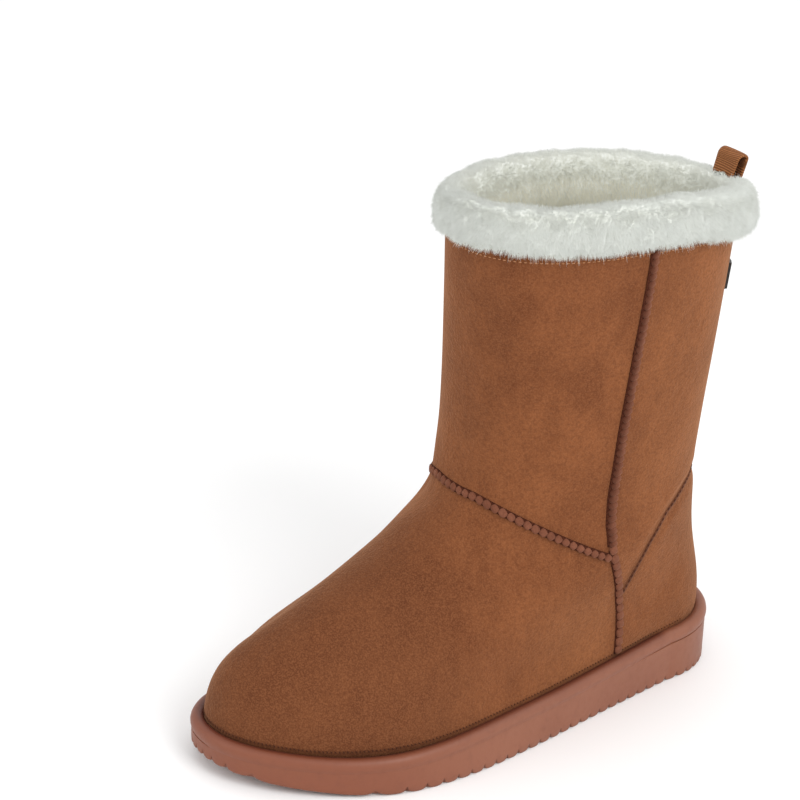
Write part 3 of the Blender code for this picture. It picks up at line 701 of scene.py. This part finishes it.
def soften_ledge(obj):
    """Smooth out the broad ledge of the counter, where the sewn edge is put instead."""
    stops = np.array(COUNTER_SEAM) * MM
    line = np.concatenate([np.linspace(a, b, 20) for a, b in zip(stops, stops[1:])])
    points = points_of(obj)
    away = np.min([np.hypot(points[:, 1] - y, points[:, 2] - z) for y, z in line], axis=0)
    with edit_mode(obj, away < LEDGE_REACH * MM):
        bpy.ops.mesh.vertices_smooth(factor=0.5, repeat=LEDGE_PASSES)


def make_upper():
    upper = copy_of("upper", "suede_upper")
    apply_modifier(upper, "SUBSURF", levels=1, render_levels=1)
    mark_lining(upper)
    fill_out(upper)
    soften_ledge(upper)
    press_creases(upper)
    apply_modifier(upper, "SUBSURF", levels=1, render_levels=1)
    upper.data.shade_smooth()
    return upper


def mark_lining(upper):
    """Slot 1 for the faces that look into the boot."""
    tree = tree_of(upper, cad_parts["insole"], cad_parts["outsole"])
    for face in upper.data.polygons:
        start = face.center + face.normal * (0.5 * MM)
        hit, _, _, distance = tree.ray_cast(start, face.normal)
        face.material_index = int(hit is not None and distance > INSIDE_VIEW * MM)


def add_shade(obj, name, places, reach):
    """An attribute that is 1 at the places and fades away from them."""
    away, _ = nearest_on(places, points_of(obj))
    add_values(obj, name, np.exp(-((away / (reach * MM)) ** 2)))


def joined(name, pieces):
    """The pieces as one mesh, by the name of the first."""
    work_on(pieces[0])
    for piece in pieces[1:]:
        piece.select_set(True)
    bpy.ops.object.join()
    pieces[0].name = name
    return pieces[0]


def make_piping(name, route, width, height):
    """A thin raised edge, sewn along a route."""
    at, _, across, out = even_frames(route, PIPING_PITCH)
    rows = []
    for k in range(PIPING_SIDES):
        turn = 2 * math.pi * k / PIPING_SIDES
        rows.append(at + across * (math.cos(turn) * width / 2 * MM) + out * (math.sin(turn) * height * MM))
    points = np.concatenate([at[:1], np.stack(rows, axis=1).reshape(-1, 3), at[-1:]])
    faces = []
    last = len(points) - 1
    for k in range(PIPING_SIDES):
        j = (k + 1) % PIPING_SIDES
        faces.append((0, 1 + j, 1 + k))
        for a in range(1, last - PIPING_SIDES, PIPING_SIDES):
            b = a + PIPING_SIDES
            faces += [(a + k, a + j, b + j), (a + k, b + j, b + k)]
        faces.append((last, last - PIPING_SIDES + k, last - PIPING_SIDES + j))
    return face_outwards(joined_mesh(name, points, faces))


def face_outwards(obj):
    with edit_mode(obj):
        bpy.ops.mesh.normals_make_consistent(inside=False)
    return obj


# ---- the rubber sole ----
def smooth_curve(knots, values, at):
    """A smooth curve through the knots."""
    knots, values = np.asarray(knots), np.asarray(values)
    steps = np.diff(knots)
    slopes = np.diff(values) / steps
    inner = (slopes[:-1] * steps[1:] + slopes[1:] * steps[:-1]) / (steps[1:] + steps[:-1])
    tangents = np.concatenate([slopes[:1], inner, slopes[-1:]])
    at = np.clip(at, knots[0], knots[-1])
    i = np.clip(np.searchsorted(knots, at, side="right") - 1, 0, len(steps) - 1)
    step = steps[i]
    t = (at - knots[i]) / step
    start = values[i] * (1 + 2 * t) * (1 - t) ** 2 + step * tangents[i] * t * (1 - t) ** 2
    return start + values[i + 1] * t * t * (3 - 2 * t) + step * tangents[i + 1] * t * t * (t - 1)


def rim_top(y):
    return smooth_curve(*zip(*RIM_TOP), y)


def tread_height(y):
    past_ball = np.clip((SPRING_START - y) / (SPRING_START + SOLE_LENGTH / 2), 0, 1.2)
    return TOE_SPRING * past_ball**2


def sole_outline():
    """Points on the sole's outline and its outward directions, from the toe by the outer side."""
    reach = SOLE_LENGTH / 2
    y = -reach * np.cos(np.linspace(0, math.pi, OUTLINE_STEPS + 1))
    share = (reach - y) / SOLE_LENGTH
    to_toe = held(1 - (y + reach) / TOE_ROUND)
    to_heel = held(1 - (reach - y) / HEEL_ROUND)
    rounding = ((1 - to_toe**ROUNDNESS) * (1 - to_heel**ROUNDNESS)) ** (1 / ROUNDNESS)
    centre = smooth_curve(SOLE_STATIONS, SOLE_CENTRES, share)
    half = smooth_curve(SOLE_STATIONS, SOLE_HALVES, share) * rounding
    outer = np.stack([centre + half, y], axis=1)
    inner = np.stack([centre - half, y], axis=1)[-2:0:-1]
    points = np.concatenate([outer, inner])
    ahead = np.roll(points, -3, axis=0) - np.roll(points, 3, axis=0)
    outward = unit(np.stack([ahead[:, 1], -ahead[:, 0]], axis=1))
    return points, outward


def tread_stations(low, high):
    """Distances across the ribs, even in the middle and closer at both ends of the sole."""
    step = TREAD_PITCH / TREAD_STEPS
    ends = TREAD_END_GROWTH * np.arange(1, TREAD_END_STATIONS + 1) ** 2
    even = np.arange(math.ceil((low + ends[-1]) / step) + 1, math.floor((high - ends[-1]) / step)) * step
    return np.concatenate([low + ends, even, high - ends[::-1]])


def tread_sides():
    """The outline's two sides at the tread's stations: places, and outward directions."""
    points, outward = sole_outline()
    across = points @ ACROSS_RIBS
    top, foot = int(np.argmax(across)), int(np.argmin(across))
    stations = tread_stations(across[foot], across[top])
    sides = []
    for first, last in ((foot, top), (top, foot)):
        index = np.arange(first, last if last > first else last + len(points)) % len(points)
        order = index[np.argsort(across[index])]
        ends = [np.interp(stations, across[order], values[order]) for values in (*points.T, *outward.T)]
        sides.append((np.stack(ends[:2], axis=1), unit(np.stack(ends[2:], axis=1))))
    return sides


def rib_lobes(places):
    """How far the ribs' undersides stand above the tread's lowest level, and how far a place
    is from the middle of its rib: 1 is the notch between two ribs."""
    at = places @ ACROSS_RIBS / TREAD_PITCH
    share = np.abs(2 * (at - np.round(at)))
    curve = (1 - np.minimum(share, 1) ** LOBE_ROUNDNESS) ** (1 / LOBE_ROUNDNESS)
    return TREAD_DEPTH * (1 - curve), share


def between(left, right):
    """A grid of rungs from each place on the left to its fellow on the right."""
    shares = np.linspace(0, 1, TREAD_RUNGS + 1)[None, :, None]
    return left[:, None] * (1 - shares) + right[:, None] * shares


def grid_edge(rows, columns):
    """The rows and the columns of a grid's edge: down the left, over, up the right and home."""
    edge = [(i, 0) for i in range(rows)] + [(rows - 1, j) for j in range(1, columns)]
    edge += [(i, columns - 1) for i in range(rows - 2, -1, -1)]
    edge += [(0, j) for j in range(columns - 2, 0, -1)]
    return tuple(np.array(edge).T)


def ramp(values, start, reach):
    """0 up to the start and 1 past its reach, which is negative for a ramp that falls."""
    return held((values - start) / reach)


def wall_rings(place, outward):
    """Rings from the tread to the seat, each an inset from the outline and a height."""
    x, y = place.T
    lobe, notch = rib_lobes(place)
    floor = tread_height(y)
    beside_ball = np.exp(-(((y - BALL_FLARE_Y) / BALL_FLARE_REACH) ** 2))
    flare = BALL_FLARE * beside_ball * held(outward[:, 0])
    rings = []
    for inset, part in LOBE_PROFILE:
        inward = inset + NOTCH_INSET * notch**NOTCH_SHARPNESS * (1 - part) - flare
        rings.append((inward, floor + lobe + (LOBE_TOP - lobe) * part))
    foot = floor + LOBE_TOP
    straight = np.interp(y, *zip(*RIM_TOP))
    groove = np.where(y > GROOVE_STRAIGHT_Y, straight, rim_top(y)) - GROOVE_DROP
    toe = ramp(y, *GROOVE_TOE_Y) * ramp(x, *GROOVE_TOE_X)
    deep = GROOVE_DEPTH * np.maximum(toe, ramp(y, *GROOVE_HEEL_Y))
    for inset, flared, grooved, up, rise in WALL_PROFILE:
        rings.append((inset - flare * flared + deep * grooved, foot * (1 - up) + groove * up + rise))
    return rings + [(np.full(len(y), inset), rim_top(y) + rise) for inset, rise in RIM_PROFILE]


def make_sole():
    """The cup sole: lobed ribs right across the tread, a plain wall and a rounded rim. The
    wall's rings join two grids, the tread and the seat under the foot."""
    (left, left_out), (right, right_out) = tread_sides()
    rungs = between(left, right)
    rows, columns = rungs.shape[:2]
    edge = grid_edge(rows, columns)
    place, outward = rungs[edge], unit(between(left_out, right_out)[edge])
    rings = [(place - outward * inset[:, None], height) for inset, height in wall_rings(place, outward)]

    def inside(ring):
        corner = rows + columns - 2
        return between(ring[:rows], ring[corner : corner + rows][::-1])

    y = rungs[..., 1]
    tread = np.dstack([inside(rings[0][0]), tread_height(y) + rib_lobes(rungs)[0]])
    seat = np.dstack([inside(rings[-1][0]), rim_top(y) - SEAT_DROP])
    wall = [np.column_stack(ring) for ring in rings[1:-1]]
    points = np.concatenate([tread.reshape(-1, 3), *wall, seat.reshape(-1, 3)])

    grid = np.arange(rows * columns).reshape(rows, columns)
    seat_start = grid.size + len(place) * len(wall)
    loops = [np.arange(n, n + len(place)) for n in range(grid.size, seat_start, len(place))]
    loops = [grid[edge], *loops, grid[edge] + seat_start]
    quads = np.stack([grid[:-1, :-1], grid[1:, :-1], grid[1:, 1:], grid[:-1, 1:]], axis=-1).reshape(-1, 4)
    faces = [quads, quads[:, ::-1] + seat_start]
    for low, high in zip(loops, loops[1:]):
        faces.append(np.stack([low, high, np.roll(high, -1), np.roll(low, -1)], axis=-1))
    sole = face_outwards(joined_mesh("rubber_sole", points * MM, np.concatenate(faces)))
    bpy.ops.object.shade_smooth_by_angle(angle=math.radians(50))
    return sole


# ---- fur ----
HAIRS_A_PIECE = 37000
SPARE_HAIRS = 60000  # for those that would stand in the suede or the loop
HAIR_WIDTH = 0.27
HAIR_LENGTH = 3.2
CREST_TRIM = 1.3  # how much shorter the hairs are on the crest, and at the hem
HEM_TRIM = 1.6
HEM_TRIM_REACH = 6.0
HAIR_FALL = 0.9  # how hard hairs hang down, and how far they spread on the crest
CREST_SPREAD = 0.3
HAIR_CLEARANCE = 0.15
LONG_HAIR_SHARE = 0.06
LONG_HAIR = 1.6  # times the usual length
# The tufts: how broad they are, and how much they turn the hairs. Strays go by no tuft.
BROAD_TUFT, BROAD_LEAN = 5.5, 0.45
FINE_TUFT, FINE_LEAN = 1.7, 0.35
STRAY_LEAN = 0.12
UPRIGHT_CALM = 0.6  # how much of that is lost where hairs stand upright
LENGTH_PATCH = 4.0
SIDE_FACING = 0.2  # what faces out or in by less than this is the crest

CUFF_AXIS = (18.0, 48.0)
CUFF_VOXEL = 1.4
CUFF_SMOOTHING = 22
CUFF_INSET = 1.4  # room for the hairs
CUFF_LUMPS = ((13.0, 2.4), (5.0, 1.0))  # size and height
EDGE_STEPS = 72
HEM_REACH = 12.0  # how far above the hem its tuck ends
CREST_LIFT = 2.0  # how much fuller the cuff stands on the outer front
CREST_SIDE = (0.85, -0.53)
# How far the hem is tucked up, by the Y of the direction that it faces.
HEM_TUCK = ((-1.0, 4.0), (-0.85, 3.8), (-0.65, 2.2), (-0.5, 1.2), (-0.28, 1.8), (0.2, 2.0), (1.0, 2.0))
HOLLOW_SHADE = 0.7  # on the slope into the boot
SHOULDER_SHADE = 0.35

LINING_HAIRS = 18000
LINING_HAIR = (2.2, 0.5)  # length and width
LINING_HEIGHTS = (175.0, 240.0)


def surface_samples(obj, count, chosen_faces=None, calm=None):
    """Random points on a mesh, evenly by area, its normals there, and the calm ones, which
    are given for its vertices."""
    corners, face_numbers = corners_of(obj)
    if chosen_faces is not None:
        corners = corners[chosen_faces[face_numbers]]
    points, normals = points_of(obj), normals_of(obj)
    a, b, c = (points[corners[:, k]] for k in range(3))
    areas = np.linalg.norm(np.cross(b - a, c - a), axis=1)
    chosen = corners[random.choice(len(corners), count, p=areas / areas.sum())]
    u, v = random.uniform(size=(2, count))
    flip = u + v > 1
    u, v = np.where(flip, 1 - u, u), np.where(flip, 1 - v, v)
    weights = np.stack([1 - u - v, u, v], axis=1)[..., None]
    values = (points, normals, normals if calm is None else calm)
    at, out, calm_out = (np.sum(value[chosen] * weights, axis=1) for value in values)
    return at, unit(out), unit(calm_out)


def drift(points, size, number):
    """A smooth random direction at each point, which changes over about `size`."""
    shift = Vector((17.0 * number, -9.0 * number, 5.0 * number))
    return np.array([noise.noise_vector(Vector(p) / (size * MM) + shift) for p in points])


def lay_pile(roots, normals, lengths, lay, wildness=1.0):
    """Where each hair's tip ends up, and its tint, painted shade that differs by tuft. Neighbours lean
    together, in soft tufts.
    """
    count = len(roots)
    broad, fine = drift(roots, BROAD_TUFT, 1), drift(roots, FINE_TUFT, 2)
    calmed = wildness * (1 - UPRIGHT_CALM * held(normals[:, 2:]))
    turns = broad * BROAD_LEAN + fine * FINE_LEAN + random.normal(size=(count, 3)) * STRAY_LEAN
    tips = unit(normals + lay + turns * calmed)
    reach = lengths * (1 + 0.3 * drift(roots, LENGTH_PATCH, 3)[:, 0]) * random.uniform(0.75, 1.1, count)
    reach *= np.where(random.uniform(size=count) < LONG_HAIR_SHARE, LONG_HAIR, 1)
    return roots + tips * (reach * MM)[:, None], held(0.5 + fine[:, 0] + broad[:, 1] * 0.7)


def outside_of(trees, tips, clearance):
    """Which tips stand clear of surfaces, on the side that the surfaces face."""
    clear = np.ones(len(tips), bool)
    for tree in trees:
        for i, tip in enumerate(tips):
            if clear[i]:
                place, normal, _, distance = tree.find_nearest(tip)
                if (Vector(tip) - place).dot(normal) < clearance * MM and distance < 4 * MM:
                    clear[i] = False
    return clear


def make_hairs(name, roots, tips, normals, inner, tint, width):
    """Closed tapered hairs from roots to tips, shaded as the soft surface that they make."""
    count = len(roots)
    start = roots - normals * 0.5 * MM
    forward = unit(tips - start)
    side = unit(np.cross(forward, random.normal(size=(count, 3))))
    other = np.cross(forward, side)
    points = np.empty((count, 4, 3))
    for k in range(3):
        turn = 2 * math.pi * k / 3
        points[:, k] = start + (side * math.cos(turn) + other * math.sin(turn)) * (width / 2 * MM)
    points[:, 3] = tips
    faces = np.array(((2, 1, 0), (0, 1, 3), (1, 2, 3), (2, 0, 3)))
    corners = faces[None] + (np.arange(count) * 4)[:, None, None]
    hairs = joined_mesh(name, points.reshape(-1, 3), corners.reshape(-1, 3), tint=np.repeat(tint, 4),
                        tip=np.tile((0, 0, 0, 1), count), inner=np.repeat(inner, 4))
    soft = unit(normals + forward * 0.2 + random.normal(size=(count, 3)) * 0.06)
    hairs.data.normals_split_custom_set_from_vertices(np.repeat(soft, 4, axis=0))
    return hairs


def fluff(obj, size, height):
    """Push a surface out and in by soft lumps of about `size`."""
    lumps = bpy.data.textures.new("lumps", "CLOUDS")
    lumps.noise_scale = size * MM
    lumps.noise_depth = 1
    apply_modifier(obj, "DISPLACE", texture=lumps, strength=height * MM, mid_level=0.5,
                   texture_coords="LOCAL")
    bpy.data.textures.remove(lumps)


def lower_edge(cuff, axis, places):
    """The height of the cuff's lower edge on each place's side of the boot."""
    points, normals = points_of(cuff), normals_of(cuff)
    points = points[np.sum(unit(points[:, :2] - axis) * normals[:, :2], axis=1) > 0.3]
    turn = np.arctan2(*(points[:, :2] - axis).T)
    bins = np.linspace(-math.pi, math.pi, EDGE_STEPS + 1)
    lowest = [points[(turn >= a) & (turn <= b), 2].min() / MM for a, b in zip(bins, bins[1:])]
    middles = (bins[:-1] + bins[1:]) / 2
    return np.interp(np.arctan2(*(places[:, :2] - axis).T), middles, lowest, period=2 * math.pi)


def fur_shadow(outward, normals):
    """How deep in its own shade the fur lies: most on the slope into the boot."""
    up = normals[:, 2]
    inward = held(0.3 - np.sum(outward * normals[:, :2], axis=1) * 1.5)
    hollow = inward * held((1.0 - up) / 0.25) * np.clip((up + 0.2) / 0.4, 0.2, 1)
    shoulder = (1 - inward) * held(1 - np.abs(up - 0.45) / 0.35)
    return hollow * HOLLOW_SHADE + shoulder * SHOULDER_SHADE


def settle_cuff(cuff, axis):
    """Tuck up the hem of the cuff, and raise its crest on the outer front."""
    points = points_of(cuff)
    facing = unit(points[:, :2] - axis)
    above_hem = points[:, 2] / MM - lower_edge(cuff, axis, points)
    tuck = np.interp(facing[:, 1], *zip(*HEM_TUCK)) * held(1 - above_hem / HEM_REACH)
    outer_front = held(facing @ np.array(CREST_SIDE) * 1.5)
    lift = CREST_LIFT * outer_front * held(above_hem / HEM_REACH)
    points[:, 2] += (tuck + lift) * MM
    move_points(cuff, points)


def make_backing():
    """The cuff's woolly backing, which fills its form, and its normals without the lumps."""
    axis = np.array(CUFF_AXIS) * MM
    backing = copy_of("fur_cuff", "fur_backing")
    apply_modifier(backing, "REMESH", mode="VOXEL", voxel_size=CUFF_VOXEL * MM)
    apply_modifier(backing, "SMOOTH", factor=0.5, iterations=CUFF_SMOOTHING)
    apply_modifier(backing, "DISPLACE", strength=-CUFF_INSET * MM, mid_level=0.0)
    settle_cuff(backing, axis)
    calm = normals_of(backing)
    shadow = fur_shadow(unit(points_of(backing)[:, :2] - axis), calm)
    for size, height in CUFF_LUMPS:
        fluff(backing, size, height)
    # Painted shade on the backing, as on the hairs.
    add_values(backing, "tint", shadow)
    backing.data.shade_smooth()
    return backing, calm


def make_fur(backing, calm, trees):
    """The pile that grows from the backing, in four pieces, clear of what the trees hold."""
    axis = np.array(CUFF_AXIS) * MM
    roots, normals, calm = surface_samples(backing, 4 * HAIRS_A_PIECE + SPARE_HAIRS, calm=calm)
    up = held(normals[:, 2])
    outward = unit(roots[:, :2] - axis)
    facing = np.sum(outward * normals[:, :2], axis=1)
    hem = np.array([line_height(SHAFT_TOP, y) for y in roots[:, 1] / MM]) * MM
    rise = (roots[:, 2] - hem) / MM
    inner = held(0.5 - facing * 0.9) * np.clip(1 - (rise - 2) / 12, 0.15, 1)
    lay = np.zeros_like(roots)
    lay[:, 2] = -HAIR_FALL * held(1 - normals[:, 2])
    lay[:, :2] = outward * CREST_SPREAD * up[:, None]
    above_hem = roots[:, 2] / MM - lower_edge(backing, axis, roots)
    lengths = HAIR_LENGTH - CREST_TRIM * up - HEM_TRIM * held(1 - above_hem / HEM_TRIM_REACH)
    tips, tint = lay_pile(roots, normals, lengths, lay)
    # The tint is painted shade: a little by tuft, and more on the crest's shoulder and on the slope into the
    # boot.
    tint = held(tint * 0.15 + fur_shadow(outward, calm))
    clear = outside_of(trees, tips, HAIR_CLEARANCE)
    out = facing > SIDE_FACING
    front = roots[:, 1] < axis[1]
    groups = {
        "fur_outside_front": out & front,
        "fur_outside_back": out & ~front,
        "fur_crest": np.abs(facing) <= SIDE_FACING,
        "fur_inside": facing < -SIDE_FACING,
    }
    soft = unit(calm * 0.8 + normals * 0.2)
    pieces = []
    for name, chosen in groups.items():
        index = np.flatnonzero(chosen & clear)[:HAIRS_A_PIECE]
        hairs = [values[index] for values in (roots, tips, soft, inner, tint)]
        pieces.append(make_hairs(name, *hairs, HAIR_WIDTH))
    return pieces


def make_lining_pile(upper):
    """Short curls on the lining, from under the cuff down the shaft."""
    low, high = LINING_HEIGHTS
    inside = np.array([face.material_index == 1 and low * MM < face.center.z < high * MM
                       for face in upper.data.polygons])
    roots, normals, _ = surface_samples(upper, LINING_HAIRS, inside)
    length, width = LINING_HAIR
    lay = np.zeros_like(roots)
    lay[:, 2] = -0.5
    tips, tint = lay_pile(roots, normals, np.full(len(roots), length), lay, 1.3)
    return make_hairs("lining_pile", roots, tips, normals, np.ones(len(roots)), tint, width)


def mark_length(loop):
    """The length along the folded webbing, which its ribs are set out by."""
    points = points_of(loop)
    top = points[:, 2].max()
    crown = points[points[:, 2] > top - LOOP_ARC_RADIUS * MM]
    middle = (crown[:, 1].min() + crown[:, 1].max()) / 2
    rise = points[:, 2] - (top - LOOP_ARC_RADIUS * MM)
    back = points[:, 1] - middle
    round_arc = np.arctan2(np.maximum(rise, 0), np.abs(back)) * LOOP_ARC_RADIUS * MM
    along = np.where(rise > 0, round_arc, rise)
    add_values(loop, "along", along)


# ---- floor, light and camera ----
CAMERA_PLACE = (820.05, -627.68, 609.95)
CAMERA_AZIMUTH = 0.951
CAMERA_ELEVATION = 0.414
CAMERA_ROLL = 0.032
CAMERA_LENS = 111.05
LAMP_TARGET = (0.01, 0.0, 0.12)
# Each lamp: where it is, in metres, how broad its disk is, and its power.
LAMPS = {"key_light": ((1.5, 0.05, 1.3), 1.1, 17), "front_light": ((-0.2, -1.7, 1.1), 1.2, 5)}


def make_camera():
    data = bpy.data.cameras.new("camera")
    data.lens = CAMERA_LENS
    data.sensor_width = 36.0
    data.clip_end = 20.0
    camera = add_object("camera", data)
    a, e = CAMERA_AZIMUTH, CAMERA_ELEVATION
    right = Vector((math.cos(a), math.sin(a), 0))
    back = Vector((math.sin(a) * math.cos(e), -math.cos(a) * math.cos(e), math.sin(e)))
    up = back.cross(right)
    c, s = math.cos(CAMERA_ROLL), math.sin(CAMERA_ROLL)
    axes = Matrix((right * c + up * s, up * c - right * s, back)).transposed().to_4x4()
    camera.matrix_world = Matrix.Translation(Vector(CAMERA_PLACE) * MM) @ axes
    bpy.context.scene.camera = camera


def make_light(name, place, size, power):
    data = bpy.data.lights.new(name, "AREA")
    data.shape = "DISK"
    data.size = size
    data.energy = power
    light = add_object(name, data)
    light.location = place
    light.rotation_mode = "QUATERNION"
    light.rotation_quaternion = (Vector(place) - Vector(LAMP_TARGET)).to_track_quat("Z", "Y")


def make_studio():
    bpy.ops.mesh.primitive_circle_add(vertices=96, radius=4, fill_type="NGON")
    floor = bpy.context.object
    floor.name = "floor"
    paint = Finish("pale_floor", 0.9, Base_Color=(0.93, 0.93, 0.93, 1.0))
    floor.data.materials.append(paint.material)
    world = bpy.data.worlds.new("studio")
    bpy.context.scene.world = world
    world.use_nodes = True
    background = world.node_tree.nodes["Background"]
    background.inputs["Color"].default_value = (1.0, 1.0, 1.0, 1.0)
    background.inputs["Strength"].default_value = 1.0
    for name, (place, size, power) in LAMPS.items():
        make_light(name, place, size, power)
    bpy.context.scene.view_settings.view_transform = "Standard"


# ---- putting it together ----
def hem_stitch_height(y):
    return line_height(SHAFT_TOP, y) - HEM_STITCH_DROP


def shifted(route, shift):
    points, normals = route
    return points + np.array(shift) * MM, normals


def sew_side_seam(name, side, tree, foot, seam, shaded):
    """A side seam: broad loops up to the fork and slanted ones above it, on dark beds of painted shade."""
    stretches = ((foot, SEAM_FORK), (SEAM_FORK, SIDE_SEAM_TOP))
    low, high = (side_seam_route(tree, side, *ends) for ends in stretches)
    loops = [sewn_row(name, seam_loop, "side", low),
             sewn_row(name + "_high", seam_loop, "side_high", high, side)]
    dress(joined(name, loops), "upper", seam)
    beds = []
    for end, ends, (width, toeward) in zip(("", "_high"), stretches, (SIDE_BED, SIDE_BED_HIGH)):
        route = side_seam_route(tree, side, *ends, toeward)
        beds.append(make_piping(name + "_bed" + end, route, width, BED_HEIGHT))
    dress(joined(name + "_bed", beds), "upper", shaded)


def dress_upper(suede, lining):
    """The suede upper with what is sewn on it. Its tree and the sole's line on it come too."""
    seam = seam_suede("seam_suede", (106, 64, 47), (122, 76, 57))
    counter_suede = seam_suede("counter_suede", (84, 49, 32), (102, 62, 42))
    dark_thread = sewing_thread("dark_thread", (74, 42, 29))
    shaded = shaded_suede()
    pale_thread = sewing_thread("pale_thread", (200, 146, 104))

    upper = make_upper()
    tree = tree_of(upper)
    foot = table_value(RIM_TOP, SEAM_FOOT_Y) + 1
    side_routes = [side_seam_route(tree, side, foot, SIDE_SEAM_TOP) for side in (1, -1)]
    vamp_route = round_route(tree, np.arange(-91, 91.5, 1.0), lambda y: line_height(VAMP_SEAM, y))
    counter_route = round_route(tree, np.arange(96, 264.5, 1.0), lambda y: table_value(COUNTER_SEAM, y))
    behind_seam = counter_route[0][:, 1] > COUNTER_SEAM_START * MM
    counter_route = [part[behind_seam] for part in counter_route]
    rim_line, _ = welt_route(tree, 0.6)
    seams = np.concatenate([route[0] for route in (*side_routes, vamp_route, counter_route)])
    add_shade(upper, "seam_shade", seams - np.array((0, 1.0 * MM, 0)), 2.4)
    add_shade(upper, "rim_shade", rim_line, 1.1)
    dress(upper, "upper", suede, lining, replaces=["upper"])

    for name, side in (("outer_side_seam", 1), ("inner_side_seam", -1)):
        sew_side_seam(name, side, tree, foot, seam, shaded)
    dress(sewn_row("vamp_seam", seam_loop, "vamp", vamp_route), "upper", seam)
    # The vamp's bed of painted shade, under and beside its loops.
    width, above = VAMP_BED
    bed = make_piping("vamp_seam_bed", shifted(vamp_route, (0, 0, above)), width, BED_HEIGHT)
    dress(bed, "upper", shaded)
    dress(make_piping("counter_edge", counter_route, *COUNTER_EDGE), "upper", counter_suede)
    beside = shifted(counter_route, COUNTER_STITCH_SHIFT)
    dress(sewn_row("counter_stitches", stitch, "counter", beside), "upper", dark_thread)
    welt = welt_route(tree, WELT_STITCH_RISE)
    dress(sewn_row("welt_stitches", stitch, "welt", welt), "upper", dark_thread)
    hem = round_route(tree, np.arange(0, 360, 1.0), hem_stitch_height, TOP_AXIS)
    dress(sewn_row("hem_stitches", stitch, "hem", hem), "upper", pale_thread)
    return upper, tree, rim_line


def dress_sole(rim_line):
    sole = make_sole()
    add_shade(sole, "rim_shade", rim_line, 4.0)
    dress(sole, "outsole", sole_rubber(), replaces=["outsole"])


def smooth_copy(node, name):
    piece = copy_of(node, name)
    apply_modifier(piece, "SUBSURF", levels=2, render_levels=2)
    piece.data.shade_smooth()
    return piece


def dress_loop():
    loop = smooth_copy("pull_loop", "webbing_loop")
    mark_length(loop)
    dress(loop, "pull_loop", ribbed_webbing(), replaces=["pull_loop"])
    return loop


def dress_fur(upper, trees):
    """The fur cuff, and the pile of the lining that shows inside it."""
    backing, calm = make_backing()
    fur_pieces = make_fur(backing, calm, trees)
    wool = fleece("cuff_wool", (197, 199, 192), (206, 208, 203), 0.0004, 0.3)
    dress(backing, "fur_cuff", wool, replaces=["fur_cuff"])
    fur = long_fur()
    for piece in (*fur_pieces, make_lining_pile(upper)):
        dress(piece, "fur_cuff", fur)


def dress_insole(lining):
    insole = smooth_copy("insole", "fleece_insole")
    dress(insole, "insole", lining, replaces=["insole"])


def dress_badge():
    """The badge stays the CAD's own piece."""
    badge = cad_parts["back_badge"]
    badge.data.materials.clear()
    badge.data.materials.append(badge_leather())


def main():
    lining = fleece("lining_fleece", (206, 202, 180), (236, 233, 216), 0.0012, 0.15)
    upper, upper_tree, rim_line = dress_upper(brushed_suede(), lining)
    dress_sole(rim_line)
    loop = dress_loop()
    dress_fur(upper, (upper_tree, tree_of(loop)))
    dress_insole(lining)
    dress_badge()
    make_studio()
    make_camera()


main()
